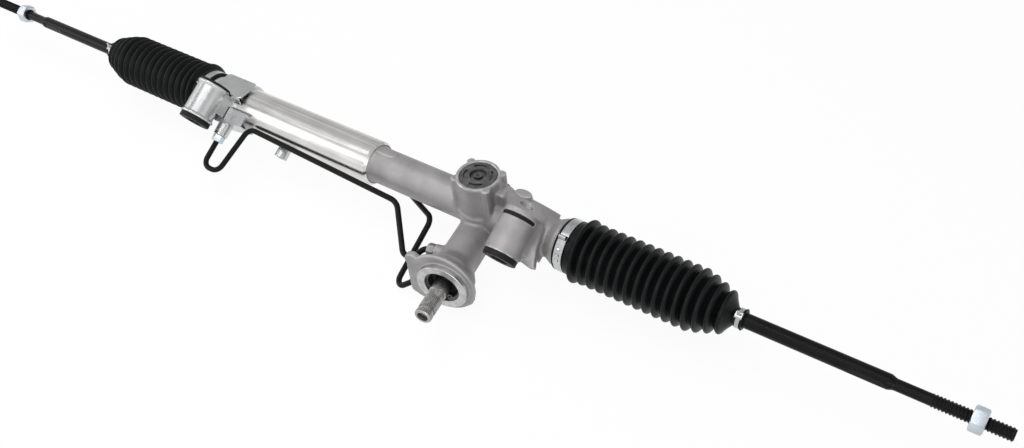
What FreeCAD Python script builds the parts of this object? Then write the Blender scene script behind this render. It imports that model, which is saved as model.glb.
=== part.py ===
# Hydraulic rack and pinion steering gear with its tie rods, in millimetres.
# X runs along the rack and Z up along the yoke tower. The origin is the middle of the right mount bush.
import FreeCAD, Part
import Sketcher
import math
import os
import re

Vector = FreeCAD.Vector
doc = FreeCAD.newDocument("steering_rack")

# Driving sizes: name, number, note. A station along the rack or the pinion is counted from the yoke axis.
SIZES = [
    ("middle_x", 137.5, "yoke axis to the middle of the centred rack"),
    ("travel", 70, "rack travel each way"),
    ("stop_gap", 3, "ball housing to housing end at full travel"),
    ("housing_half", 249.5, "middle of the rack to each end of the housing"),
    ("running_gap", 0.05, "radial running clearance"),
    ("seat_gap", 0.3, "clearance between curved faces that don't run on each other"),
    ("rack_dia", 27, "rack bar"),
    ("rack_chamfer", 1, "chamfers at its ends"),
    ("bore_gap", 1, "radial room round the rack bar in the casting"),
    ("tube_od", 48, "power cylinder tube"),
    ("tube_wall", 2.5, "its wall"),
    ("tube_start", 133.5, "yoke axis to the tube's near end"),
    ("tube_lip", 2.4, "chamfer at the tube's near end"),
    ("spigot_length", 30, "casting inside the tube"),
    ("barrel_od", 38.8, "casting round the rack"),
    ("flare_start", 84, "yoke axis to the flare before the right bellows"),
    ("flare_length", 9, "flare along the rack"),
    ("seal_width", 7, "rack seals"),
    ("seal_od", 34, "rack seals"),
    ("guide_width", 12, "guide bush at the casting's open end"),
    ("guide_wall", 2, "its wall"),
    ("bulkhead_depth", 47, "far end of the tube to the inner face of its bulkhead"),
    ("bulkhead_width", 34, "bulkhead"),
    ("snap_wire", 2, "snap ring behind the bulkhead"),
    ("pinion_tilt", 9.5, "pinion axis away from square to the rack, degrees"),
    ("pinion_drop", 18.5, "pinion axis below the rack axis"),
    ("teeth_count", 8, "pinion teeth"),
    ("tooth_module", 2.1, "normal module"),
    ("helix", 25, "pinion helix angle, degrees"),
    ("pressure", 20, "pressure angle, degrees"),
    ("pinion_addendum", 2.9, "pinion tooth above the pitch circle"),
    ("rack_addendum", 1.25, "rack tooth beyond the pitch line"),
    ("tip_room", 0.3, "clearance at the tooth tips"),
    ("backlash", 0.16, "thinning of each tooth"),
    ("teeth_half", 15, "half the pinion's toothed length"),
    ("rack_gaps", 25, "tooth gaps cut in the rack"),
    ("tower_od", 45, "yoke tower"),
    ("tower_top", 45, "rack axis to the top of the yoke tower"),
    ("skirt_height", 6, "wider foot of the yoke tower"),
    ("skirt_step", 2, "its step outwards"),
    ("yoke_dia", 33, "rack yoke"),
    ("yoke_foot", 5, "rack axis to the lower edge of the yoke"),
    ("yoke_top", 28, "rack axis to the top of the yoke"),
    ("yoke_pocket", 5, "pocket for the disc springs"),
    ("liner_wall", 0.8, "yoke liner"),
    ("disc_count", 4, "disc springs behind the yoke"),
    ("disc_thick", 1.2, "one disc spring"),
    ("plug_dia", 38, "yoke plug"),
    ("plug_thick", 10, "its thickness"),
    ("plug_dish", 2.5, "recess in the middle of the plug"),
    ("plug_hex", 8, "raised hexagon on the plug, across flats"),
    ("plug_slot_angle", 55, "each curved slot of the plug, degrees"),
    ("plug_turn", 24, "slots away from the rack direction, degrees"),
    ("lug_dia", 9, "ribs down the yoke tower"),
    ("lug_circle", 46, "circle of the ribs"),
    ("lug_angle", 37, "ribs away from the rack direction, degrees"),
    ("web_top", 33, "rack axis to the top of the web behind the mount boss"),
    ("web_thick", 14, "that web"),
    ("web_back", 24, "yoke axis side of the boss back to the web's rear edge, along the bolts"),
    ("pad_dia", 11, "cast pads on the web"),
    ("neck_od", 39, "pinion tower"),
    ("valve_bore", 30.1, "bore for the valve sleeve"),
    ("pinion_room", 26.6, "bore round the pinion teeth"),
    ("head_front", 89, "yoke axis to the front of the head plate"),
    ("head_thick", 14, "head from its flare to its front"),
    ("head_rim", 3.5, "rim of the head plate"),
    ("head_od", 71, "head plate"),
    ("head_left", 41, "pinion axis to the straight side of the head plate"),
    ("ear_dia", 16, "ears of the head plate"),
    ("ear_thick", 7, "ears and side of the head plate"),
    ("ring_front", 95.6, "yoke axis to the machined ring's face"),
    ("ring_od", 53, "machined ring"),
    ("mouth_dia", 37, "seal bore inside the ring"),
    ("mouth_depth", 12, "its depth"),
    ("input_seal_width", 7, "seal round the input shaft"),
    ("clip_thick", 1.4, "retaining ring over the seal"),
    ("clip_width", 2.2, "its radial width"),
    ("tower_tail", 42, "pinion tower behind the rack"),
    ("hose_first", 45, "yoke axis to the pressure port"),
    ("hose_second", 65, "yoke axis to the return port"),
    ("hose_boss", 19, "bosses of the hose ports"),
    ("hose_hole", 14, "their threaded holes"),
    ("hose_rise", 6, "bosses beyond the pinion tower"),
    ("hose_depth", 9, "depth of their threads"),
    ("oil_way", 8, "drilled oil ways"),
    ("bearing_od", 30, "lower bearing"),
    ("bearing_width", 10, "lower bearing"),
    ("bearing_start", 20, "yoke axis to the lower bearing"),
    ("race_wall", 3, "outer ring of the lower bearing"),
    ("journal_dia", 15, "pinion journal in the lower bearing"),
    ("cap_flats", 24, "grip of the lower cap, across flats"),
    ("cap_depth", 12, "lower cap in its bore"),
    ("nut_on_pinion", 17, "nut behind the lower bearing, across flats"),
    ("valve_start", 31, "yoke axis to the valve sleeve"),
    ("valve_end", 77, "yoke axis to its far end"),
    ("sleeve_ring_width", 2, "seal rings of the valve sleeve"),
    ("sleeve_ring_depth", 1.4, "their grooves"),
    ("land_grooves", 6, "oil grooves along the valve"),
    ("land_groove_width", 2.6, "each oil groove"),
    ("shaft_dia", 18, "input shaft"),
    ("shaft_neck", 15, "input shaft between seal and spline"),
    ("neck_start", 103, "yoke axis to that neck"),
    ("spline_dia", 17.4, "input spline"),
    ("spline_length", 23, "its length"),
    ("spline_teeth", 30, "serrations of the spline"),
    ("shaft_end", 134, "yoke axis to the end of the input shaft"),
    ("end_recess", 11, "recess in the end of the input shaft"),
    ("torsion_dia", 6, "torsion bar"),
    ("torsion_head", 8.4, "ends of the torsion bar"),
    ("torsion_start", 14, "yoke axis to its inner end"),
    ("cross_pin_dia", 3.6, "cross pin"),
    ("cross_pin_x", 121, "yoke axis to the cross pin"),
    ("mount_x", 59, "yoke axis to the right mount"),
    ("left_mount_back", 40, "far end of the tube to the left mount"),
    ("mount_tilt", 28, "mount bolts away from the horizontal, degrees"),
    ("bush_offset", 34, "rack axis to the line of the right mount bush"),
    ("eye_offset", 42, "rack axis to the line of the left mount bush"),
    ("bush_length", 40, "mount bores"),
    ("bush_od", 31, "rubber mount bushes"),
    ("bush_flange", 34.5, "their flanges"),
    ("flange_thick", 3, "their thickness"),
    ("flange_low", 5.5, "their lower flanges"),
    ("right_drop", 3.8, "upper flange of the right bush below the top of its bore"),
    ("sleeve_od", 18, "steel sleeves in the bushes"),
    ("bolt_hole", 12.4, "holes for the mount bolts"),
    ("boss_od", 37, "mount boss of the casting"),
    ("boss_rise", 5.5, "boss above the upper end of its bore"),
    ("fin_thick", 8, "fin beside the mount boss"),
    ("fin_reach", 32, "mount boss axis to the tip of the fin"),
    ("fin_waist", 22, "mount boss axis to the fin's upper edge"),
    ("eye_od", 34.4, "eye of the left mount"),
    ("eye_rim", 1.2, "rolled rims of the eye"),
    ("saddle_back", 44, "far end of the tube to the middle of the saddle"),
    ("saddle_width", 36, "saddle along the tube"),
    ("saddle_wall", 3, "saddle"),
    ("saddle_flat", 26, "flat top of the saddle"),
    ("port_back", 59, "far end of the tube to the port under it"),
    ("port_block_width", 24, "port block"),
    ("port_boss", 16, "round boss of the port block"),
    ("port_seat", 44, "rack axis to the face of that boss"),
    ("pipe_level", 16, "rack axis to the plane of the long pipe"),
    ("stud_x", 252, "yoke axis to the stud on the tube"),
    ("stud_dia", 14.6, "that stud"),
    ("stud_reach", 37, "rack axis to its face"),
    ("cuff_od", 52, "bellows cuffs"),
    ("cuff_overlap", 15, "bellows over the ends of the housing"),
    ("crest_dia", 61.4, "bellows crests"),
    ("root_dia", 51, "bellows roots"),
    ("crest_pitch", 9.8, "from crest to crest"),
    ("crest_count", 13, "full crests"),
    ("cone_count", 3, "smaller crests on the cone"),
    ("cone_end_dia", 42.4, "the last of them"),
    ("crest_start", 7, "housing end to the first crest"),
    ("bellows_wall", 1.5, "bellows wall"),
    ("small_end", 172, "housing end to the outer end of the bellows"),
    ("neck_length", 9, "small end of the bellows"),
    ("band_thick", 0.8, "clamp bands"),
    ("large_band", 9, "large clamps along the rack"),
    ("small_band", 4, "small clamps along the rack"),
    ("band_lock", 6, "locks on the clamps"),
    ("ball_reach", 28.5, "end of the rack to each ball"),
    ("ball_dia", 25, "tie rod balls"),
    ("seat_wall", 2.4, "room for the ball seats"),
    ("socket_od", 37, "ball housings"),
    ("socket_nose", 11, "ball to the mouth of its housing"),
    ("mouth_room", 24.4, "mouth of the ball housing"),
    ("rod_dia", 14, "tie rods"),
    ("rod_neck", 10.6, "tie rods beside their balls, so that they clear the mouth at full swing"),
    ("rod_reach", 300, "ball to the tip of the tie rod"),
    ("waist_length", 98, "tip of the tie rod to the start of its waist"),
    ("waist_dia", 10.6, "waist of the tie rod"),
    ("thread_length", 66, "tie rod thread"),
    ("right_thread", 11.95, "right tie rod thread, M12 at its largest"),
    ("left_thread", 11.75, "left tie rod thread, M12 at its smallest"),
    ("thread_core", 10.86, "pitch diameter, under and behind the jam nuts"),
    ("flats_back", 132, "tip of the tie rod to its wrench flats"),
    ("flats_length", 26, "wrench flats"),
    ("flats_width", 12, "across them"),
    ("nut_flats", 20, "jam nuts across flats"),
    ("nut_thick", 12, "jam nuts"),
    ("right_nut_back", 34, "tip of the right tie rod to its jam nut"),
    ("left_nut_back", 65, "tip of the left tie rod to its jam nut"),
    ("piston_x", 247, "yoke axis to the piston"),
    ("piston_width", 16, "piston"),
    ("piston_ring", 3, "its ring"),
    ("pipe_dia", 6, "feed pipes"),
    ("pipe_face", 26.5, "pinion axis to the pipe bosses"),
    ("pipe_boss", 15, "pipe bosses"),
    ("long_port", 56, "yoke axis to the long pipe's boss"),
    ("long_port_up", 2, "pinion axis up to it"),
    ("short_port", 67, "yoke axis to the short pipe's boss"),
    ("short_port_down", 8, "pinion axis down to it"),
    ("rear_port", 112, "yoke axis to the short pipe's boss on the barrel"),
    ("rear_port_back", 8, "that boss behind the rack axis"),
    ("rear_port_face", 22, "rack axis down to its face"),
    ("union_flats", 12, "union nuts across flats"),
    ("union_thick", 8, "union nuts"),
]

# Sizes that follow from the ones above.
DERIVED = [
    ("tube_end", "=housing_half + middle_x", "yoke axis to the far end of the tube"),
    ("bulkhead_start", "=tube_end - bulkhead_depth", "yoke axis to the bulkhead"),
    ("saddle_x", "=tube_end - saddle_back", "yoke axis to the middle of the saddle"),
    ("port_x", "=tube_end - port_back", "yoke axis to the port under the tube"),
    ("rack_half", "=housing_half + travel + stop_gap", "middle of the rack bar to its ends"),
    ("ball_half", "=rack_half + ball_reach", "middle of the rack to each ball"),
    ("waist_start", "=rod_reach - waist_length", "ball to the waist before the thread"),
    ("flats_start", "=rod_reach - flats_back", "ball to the wrench flats"),
    ("right_nut", "=rod_reach - right_nut_back", "right ball to its jam nut"),
    ("left_nut", "=rod_reach - left_nut_back", "left ball to its jam nut"),
]
NAMES = {name for name, number, note in SIZES + DERIVED}

sheet = doc.addObject("Spreadsheet::Sheet", "Dims")
for row, (name, number, note) in enumerate(SIZES + DERIVED, 1):
    sheet.set(f"A{row}", name)
    sheet.set(f"B{row}", str(number))
    sheet.set(f"C{row}", note)
    sheet.setAlias(f"B{row}", name)
doc.recompute()


def size(name):
    """A driving size as a number, for the shapes that are worked out point by point."""
    return float(sheet.get(name))


def cells(text):
    """Turn the names of sizes in an expression into references to their cells."""
    return re.sub(r"[a-z][a-z_0-9]*", lambda word: "Dims." + word[0] if word[0] in NAMES else word[0], text)


def bind(item, **expressions):
    for property_name, text in expressions.items():
        item.setExpression(property_name, cells(text))
    return item


# The right mount bush's middle, seen from the crossing of the rack axis and the yoke axis.
DATUM = (
    "mount_x",
    "-(bush_offset * sin(mount_tilt) + bush_length / 2 * cos(mount_tilt))",
    "bush_offset * cos(mount_tilt) - bush_length / 2 * sin(mount_tilt)",
)


def place(item, frame, x="0", y="0", z="0"):
    """Set a piece's Placement from a point given in one of the three local frames.

    rack: along the rack, towards the back, up the yoke tower.
    pinion: along the pinion axis outwards, square to it towards +X, up.
    mount: along the rack, from the rack axis to the bush line, along the mount bolts downwards.
    """
    if frame == "rack":
        turn = FreeCAD.Rotation()
        base = (x, y, z)
    elif frame == "pinion":
        turn = FreeCAD.Rotation(Vector(0, 0, -1), 90 - size("pinion_tilt"))
        base = (
            f"({x}) * sin(pinion_tilt) + ({y}) * cos(pinion_tilt)",
            f"({y}) * sin(pinion_tilt) - ({x}) * cos(pinion_tilt)",
            f"({z}) - pinion_drop",
        )
    else:
        turn = FreeCAD.Rotation(Vector(1, 0, 0), 90 + size("mount_tilt"))
        base = (
            x,
            f"-({y}) * sin(mount_tilt) - ({z}) * cos(mount_tilt)",
            f"({y}) * cos(mount_tilt) - ({z}) * sin(mount_tilt)",
        )
    item.Placement = FreeCAD.Placement(Vector(), turn)
    if frame != "rack":
        angle = "90 - pinion_tilt" if frame == "pinion" else "90 + mount_tilt"
        item.setExpression("Placement.Rotation.Angle", cells(angle))
    for letter, text, datum in zip("xyz", base, DATUM):
        item.setExpression("Placement.Base." + letter, cells(f"{text} - ({datum})"))
    return item


def outline(body, role, corners):
    """A closed sketch of straight sides on one of the body's planes, its corners bound to expressions."""
    sketch = body.newObject("Sketcher::SketchObject", body.Name + "_outline")
    sketch.AttachmentSupport = [(next(f for f in body.Origin.OriginFeatures if f.Role == role), "")]
    sketch.MapMode = "FlatFace"
    count = len(corners)
    step = 2 * math.pi / count
    loose = [Vector(math.cos(step * i), math.sin(step * i)) for i in range(count)]
    for i in range(count):
        sketch.addGeometry(Part.LineSegment(loose[i], loose[(i + 1) % count]))
    for i in range(count):
        sketch.addConstraint(Sketcher.Constraint("Coincident", i, 2, (i + 1) % count, 1))
    for i, corner in enumerate(corners):
        for kind, text in zip(("DistanceX", "DistanceY"), corner):
            index = sketch.addConstraint(Sketcher.Constraint(kind, -1, 1, i, 1, 1.0))
            sketch.setExpression(f"Constraints[{index}]", cells(text))
    return sketch


def turned(name, frame, corners, axis="x", at=("0", "0", "0"), angle="360"):
    """A body turned about an axis of the frame; corners give station and radius."""
    body = doc.addObject("PartDesign::Body", name)
    if axis == "x":
        sketch = outline(body, "XY_Plane", corners)
    else:
        role = "XZ_Plane" if axis == "z" else "XY_Plane"
        sketch = outline(body, role, [(radius, station) for station, radius in corners])
    solid = body.newObject("PartDesign::Revolution", name + "_turned")
    solid.Profile = sketch
    solid.ReferenceAxis = (sketch, ["H_Axis" if axis == "x" else "V_Axis"])
    solid.Midplane = True
    bind(solid, Angle=angle)
    return place(body, frame, *at)


def rod(name, frame, start, end, radius, axis="x", at=("0", "0", "0")):
    corners = [(start, "0"), (start, radius), (end, radius), (end, "0")]
    return turned(name, frame, corners, axis, at)


def ring(name, frame, start, end, inner, outer, axis="x", at=("0", "0", "0")):
    corners = [(start, inner), (start, outer), (end, outer), (end, inner)]
    return turned(name, frame, corners, axis, at)


def slab(name, frame, role, corners, thickness, at=("0", "0", "0"), rounding=None):
    """A plate of even thickness, padded from an outline, with its upright edges rounded."""
    body = doc.addObject("PartDesign::Body", name)
    sketch = outline(body, role, corners)
    pad = body.newObject("PartDesign::Pad", name + "_pad")
    pad.Profile = sketch
    bind(pad, Length=thickness)
    if role == "XZ_Plane":
        pad.Reversed = True
    if rounding:
        doc.recompute()
        away = {"YZ_Plane": Vector(1, 0, 0), "XZ_Plane": Vector(0, 1, 0), "XY_Plane": Vector(0, 0, 1)}[role]
        upright = [
            f"Edge{i}"
            for i, edge in enumerate(pad.Shape.Edges, 1)
            if abs(edge.tangentAt(edge.FirstParameter).dot(away)) > 0.999
        ]
        fillet = body.newObject("PartDesign::Fillet", name + "_rounded")
        fillet.Base = (pad, upright)
        bind(fillet, Radius=rounding)
    return place(body, frame, *at)


def joined(name, pieces):
    union = doc.addObject("Part::MultiFuse", name)
    union.Refine = False
    union.Shapes = pieces
    return union


def less(name, base, tools):
    rest = doc.addObject("Part::Cut", name)
    rest.Refine = False
    rest.Base = base
    rest.Tool = tools[0] if len(tools) == 1 else joined(name + "_tools", tools)
    return rest


def kept(name, base, tool):
    """What two pieces have in common."""
    overlap = doc.addObject("Part::MultiCommon", name)
    overlap.Shapes = [base, tool]
    return overlap


def shaped(name, shape, frame):
    """A piece whose shape is worked out in one of the local frames."""
    item = doc.addObject("Part::Feature", name)
    item.Shape = shape
    return place(item, frame)


nodes = []


def node(item, label):
    item.Label = label
    nodes.append(item)
    return item


# Stations that several pieces share.
HOUSING_RIGHT = "housing_half - middle_x"
HOUSING_LEFT = "-tube_end"
SPIGOT_TIP = "-(tube_start + spigot_length)"
SPIGOT_RADIUS = "tube_od / 2 - tube_wall - running_gap"
BORE_RADIUS = "rack_dia / 2 + bore_gap"
RACK_FIT = "rack_dia / 2 + running_gap"
CAP_RADIUS = "bearing_od / 2 + 1"
HEAD_BACK = "head_front - head_thick"
SEAL_START = "ring_front - mouth_depth"
CLIP_START = SEAL_START + " + input_seal_width"
LEFT_MOUNT = "-(tube_end - left_mount_back)"
PITCH_RADIUS = "teeth_count * tooth_module / (2 * cos(helix))"
PITCH_LINE = f"(pinion_drop - {PITCH_RADIUS})"
TOOTH_SHIFT = "(pinion_addendum - tooth_module)"
RACK_PITCH = "(pi * tooth_module / cos(helix - pinion_tilt))"
HOSE_PORTS = (("pressure_port", "hose_first"), ("return_port", "hose_second"))
PIPE_PORTS = (
    ("long_pipe_port", "long_port", "long_port_up"),
    ("short_pipe_port", "short_port", "-short_port_down"),
)
SIDES = (("right", 1), ("left", -1))


def outward(side, station):
    """A station counted outwards from the middle of the rack, as one along the rack."""
    return f"({station}) - middle_x" if side > 0 else f"-({station}) - middle_x"


def barrel():
    """The casting round the rack, from its spigot in the tube to the spigot of the right bellows."""
    return turned("barrel", "rack", [
        (SPIGOT_TIP, "0"),
        (SPIGOT_TIP, SPIGOT_RADIUS),
        ("-tube_start", SPIGOT_RADIUS),
        ("-tube_start", "barrel_od / 2"),
        ("flare_start", "barrel_od / 2"),
        ("flare_start + flare_length", "tube_od / 2"),
        (HOUSING_RIGHT, "tube_od / 2"),
        (HOUSING_RIGHT, "0"),
    ])


def yoke_tower():
    """Tower over the rack with a skirt at its foot and four ribs down its side."""
    pieces = [turned("tower", "rack", [
        ("0", "0"),
        ("0", "tower_od / 2 + skirt_step"),
        ("skirt_height", "tower_od / 2 + skirt_step"),
        ("skirt_height + skirt_step", "tower_od / 2"),
        ("tower_top", "tower_od / 2"),
        ("tower_top", "0"),
    ], axis="z")]
    for number, turn in enumerate(("lug_angle", "180 - lug_angle", "180 + lug_angle", "-lug_angle"), 1):
        at = (f"lug_circle / 2 * cos({turn})", f"lug_circle / 2 * sin({turn})", "0")
        pieces.append(rod(f"tower_rib_{number}", "rack", "skirt_height / 2", "tower_top",
                          "lug_dia / 2", "z", at))
    return pieces


def back_web():
    """Web behind the mount boss, from the yoke tower down to the flare, with two cast pads on top."""
    web = slab("back_web", "rack", "XZ_Plane", [
        ("tower_od / 2 - 8", "0"),
        ("tower_od / 2 - 8", "web_top + 1"),
        ("tower_od / 2 + 6", "web_top + 1"),
        ("mount_x - 12", "web_top - 2"),
        ("mount_x + 12", "barrel_od / 2 - 3"),
        ("flare_start", "barrel_od / 2 - 7"),
        ("flare_start", "0"),
    ], "web_thick", ("0", "-web_thick / 3", "0"), "3")
    pads = [
        rod(f"web_pad_{number}", "rack", "web_top - 8", top, "pad_dia / 2", "z",
            (across, "web_thick / 2 - 1", "0"))
        for number, across, top in (
            (1, "tower_od / 2 + 8", "web_top + 2"),
            (2, "mount_x - 11", "web_top - 0.5"),
        )
    ]
    return [web] + pads


def pinion_tower():
    """Neck along the pinion axis, and the head plate with its ears, machined ring and port bosses."""
    neck = turned("pinion_neck", "pinion", [
        ("-tower_tail", "0"),
        ("-tower_tail", "neck_od / 2 - 1"),
        ("1 - tower_tail", "neck_od / 2"),
        (HEAD_BACK + " - 12", "neck_od / 2"),
        (HEAD_BACK, "neck_od / 2 + 7"),
        ("head_front", "neck_od / 2 + 7"),
        ("head_front", "ring_od / 2 + 1"),
        ("head_front + 1", "ring_od / 2"),
        ("ring_front - 0.6", "ring_od / 2"),
        ("ring_front", "ring_od / 2 - 0.6"),
        ("ring_front", "0"),
    ])
    disc = turned("head_disc", "pinion", [
        (HEAD_BACK, "0"),
        (HEAD_BACK, "neck_od / 2 + 5"),
        ("head_front - head_rim", "head_od / 2 - 0.5"),
        ("head_front - 1.2", "head_od / 2"),
        ("head_front", "head_od / 2 - 1.2"),
        ("head_front", "0"),
    ], at=("0", "-3", "-1"))
    side = slab("head_side", "pinion", "YZ_Plane", [
        ("-head_left", "-27"),
        ("-head_left", "10"),
        ("-head_left + 8", "21"),
        ("0", "20"),
        ("0", "-30"),
        ("-head_left + 12", "-34"),
    ], "ear_thick - 1.5", ("head_front - ear_thick", "0", "0"), "4")
    pieces = [neck, disc, side]
    for name, across, up in (("left", "-head_left + ear_dia / 2 - 1", "17"), ("right", "20", "-17.5")):
        pieces.append(rod("head_ear_" + name, "pinion", "head_front - ear_thick - 1", "head_front - 1",
                          "ear_dia / 2", at=("0", across, up)))
    for name, station in HOSE_PORTS:
        at = (station, "0", "0")
        pieces.append(rod(name + "_boss", "pinion", "-neck_od / 2 - hose_rise", "0",
                          "hose_boss / 2", "z", at))
    for name, station, up in PIPE_PORTS:
        pieces.append(rod(name + "_boss", "pinion", "-pipe_face", "-valve_bore / 2", "pipe_boss / 2", "y",
                          (station, "0", up)))
    return pieces


def mount_boss():
    """Boss for the right mount bush, its web to the barrel and the fin beside it."""
    boss = turned("boss", "mount", [
        ("-boss_rise", "0"),
        ("-boss_rise", "boss_od / 2 - 1"),
        ("1 - boss_rise", "boss_od / 2"),
        ("bush_length", "boss_od / 2 - 0.5"),
        ("bush_length", "0"),
    ], "z", ("mount_x", "bush_offset", "0"))
    web = slab("boss_web", "mount", "XY_Plane", [
        ("mount_x - boss_od / 2 - 4", "0"),
        ("mount_x - boss_od / 2 + 1.5", "bush_offset"),
        ("mount_x + boss_od / 2 - 1.5", "bush_offset"),
        ("mount_x + boss_od / 2 + 6", "0"),
    ], "boss_rise + bush_length - 14", ("0", "0", "2 - boss_rise"))
    fin = slab("boss_fin", "mount", "XZ_Plane", [
        ("mount_x", "0"),
        ("mount_x + 12", "bush_length - 4"),
        ("mount_x + fin_reach - 6", "bush_length - 1"),
        ("mount_x + fin_reach", "bush_length - 2"),
        ("mount_x + fin_waist + 3", "bush_length / 2"),
        ("mount_x + fin_waist", "0"),
    ], "fin_thick", ("0", "bush_offset / 2", "0"))
    gusset = slab("boss_gusset", "mount", "XY_Plane", [
        ("mount_x", "bush_offset / 3"),
        ("mount_x + boss_od / 2 - 4", "bush_offset + 6"),
        ("mount_x + fin_waist", "bush_offset / 2 + fin_thick"),
        ("mount_x + fin_waist", "bush_offset / 3"),
    ], "boss_rise + bush_length - 12", ("0", "0", "4 - boss_rise"), "2")
    return [boss, web, fin, gusset, sloping_web()]


def sloping_web():
    """Lofted web from the upper end of the boss back and down to the rear edge of the casting."""
    inset = "(boss_od / 2 - 0.8)"
    high = f"{inset} * sin(45)"
    body = doc.addObject("PartDesign::Body", "sloping_web")
    front = outline(body, "XY_Plane", [
        (f"mount_x - {inset}", "2"),
        (f"mount_x - {inset}", "bush_offset"),
        (f"mount_x - {high}", f"bush_offset + {high}"),
        ("mount_x", f"bush_offset + {inset}"),
        (f"mount_x + {high}", f"bush_offset + {high}"),
        (f"mount_x + {inset}", "bush_offset"),
        (f"mount_x + {inset} + 5", "2"),
    ])
    back = outline(body, "XY_Plane", [
        ("tower_od / 2 - 9", "2"),
        ("tower_od / 2 - 7", "web_top - 9"),
        ("tower_od / 2 + 6", "web_top - 8"),
        ("mount_x - 24", "web_top - 8.5"),
        ("mount_x - 11", "web_top - 11"),
        ("mount_x + 4", "web_top / 2 - 1"),
        ("flare_start - 2", "2"),
    ])
    bind(front, **{"AttachmentOffset.Base.z": "1.3 - boss_rise"})
    bind(back, **{"AttachmentOffset.Base.z": "-web_back"})
    loft = body.newObject("PartDesign::AdditiveLoft", "sloping_web_loft")
    loft.Profile = front
    loft.Sections = [back]
    loft.Ruled = True
    return place(body, "mount")


def crescent_slot():
    """Slot that lets the upper flange of the bush show at the front of the boss."""
    top = "right_drop - flange_thick - seat_gap"
    disc = rod("slot_disc", "mount", top, "right_drop + seat_gap", "boss_od / 2 + 3", "z",
               ("mount_x", "bush_offset", "0"))
    side = slab("slot_side", "mount", "XY_Plane", [
        ("mount_x - boss_od / 2 - 4", "bush_offset - 4"),
        ("mount_x - boss_od / 2 - 4", "bush_offset + boss_od / 2 + 4"),
        ("mount_x + boss_od / 2 + 4", "bush_offset + boss_od / 2 + 4"),
        ("mount_x + boss_od / 2 + 4", "bush_offset + 3"),
    ], "flange_thick + 2 * seat_gap", ("0", "0", top))
    return kept("crescent_slot", disc, side)


def rack_housing():
    """The cast housing, cut by every bore that the inner pieces run in."""
    rear_at = ("-rear_port", "rear_port_back", "0")
    rear_boss = rod("rear_port_boss", "rack", "-rear_port_face", "0", "pipe_boss / 2", "z", rear_at)
    rough = joined("rack_side", [barrel(), rear_boss] + yoke_tower() + back_web())
    rough = joined("with_pinion_tower", [rough] + pinion_tower())
    for piece in mount_boss():
        rough = joined("with_" + piece.Name, [rough, piece])
    tools = [
        rod("rack_bore", "rack", SPIGOT_TIP + " - 1", HOUSING_RIGHT + " + 1", BORE_RADIUS),
        rod("seal_pocket", "rack", SPIGOT_TIP + " - 1", SPIGOT_TIP + " + seal_width", "seal_od / 2"),
        rod("guide_pocket", "rack", HOUSING_RIGHT + " - guide_width", HOUSING_RIGHT + " + 1",
            "rack_dia / 2 + running_gap + guide_wall"),
        rod("yoke_bore", "rack", "0", "tower_top + 1", "yoke_dia / 2 + running_gap", "z"),
        rod("plug_bore", "rack", "tower_top - plug_thick", "tower_top + 1", "plug_dia / 2", "z"),
        turned("pinion_bore", "pinion", [
            ("-tower_tail - 1", "0"),
            ("-tower_tail - 1", CAP_RADIUS),
            ("-bearing_start - bearing_width", CAP_RADIUS),
            ("-bearing_start - bearing_width", "bearing_od / 2"),
            ("-bearing_start", "bearing_od / 2"),
            ("-bearing_start", "pinion_room / 2"),
            ("valve_start - 7", "pinion_room / 2"),
            ("valve_start - 7", "valve_bore / 2"),
            (SEAL_START, "valve_bore / 2"),
            (SEAL_START, "mouth_dia / 2"),
            ("ring_front + 1", "mouth_dia / 2"),
            ("ring_front + 1", "0"),
        ]),
        turned("bush_bore", "mount", [
            ("-boss_rise - web_back", "0"),
            ("-boss_rise - web_back", "bolt_hole / 2 + 1"),
            ("-flange_thick - seat_gap", "bolt_hole / 2 + 1"),
            ("-flange_thick - seat_gap", "sleeve_od / 2 + seat_gap"),
            ("right_drop - flange_thick - seat_gap", "sleeve_od / 2 + seat_gap"),
            ("right_drop - flange_thick - seat_gap", "bush_flange / 2 + seat_gap"),
            ("right_drop", "bush_flange / 2 + seat_gap"),
            ("right_drop", "bush_od / 2"),
            ("bush_length + 1", "bush_od / 2"),
            ("bush_length + 1", "0"),
        ], "z", ("mount_x", "bush_offset", "0")),
        crescent_slot(),
    ]
    for name, station in HOSE_PORTS:
        face = "-neck_od / 2 - hose_rise"
        tools.append(turned(name + "_hole", "pinion", [
            (face + " - 1", "0"),
            (face + " - 1", "hose_hole / 2"),
            (face + " + hose_depth", "hose_hole / 2"),
            (face + " + hose_depth", "oil_way / 2"),
            ("1 - valve_bore / 2", "oil_way / 2"),
            ("1 - valve_bore / 2", "0"),
        ], "z", (station, "0", "0")))
    for name, station, up in PIPE_PORTS:
        tools.append(rod(name + "_hole", "pinion", "-pipe_face - 1", "3 - valve_bore / 2",
                         "pipe_dia / 2", "y", (station, "0", up)))
    tools.append(rod("rear_port_hole", "rack", "-rear_port_face - 1", "-rack_dia / 3",
                     "pipe_dia / 2", "z", rear_at))
    node(less("housing_cut", rough, tools), "rack_housing")


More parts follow.
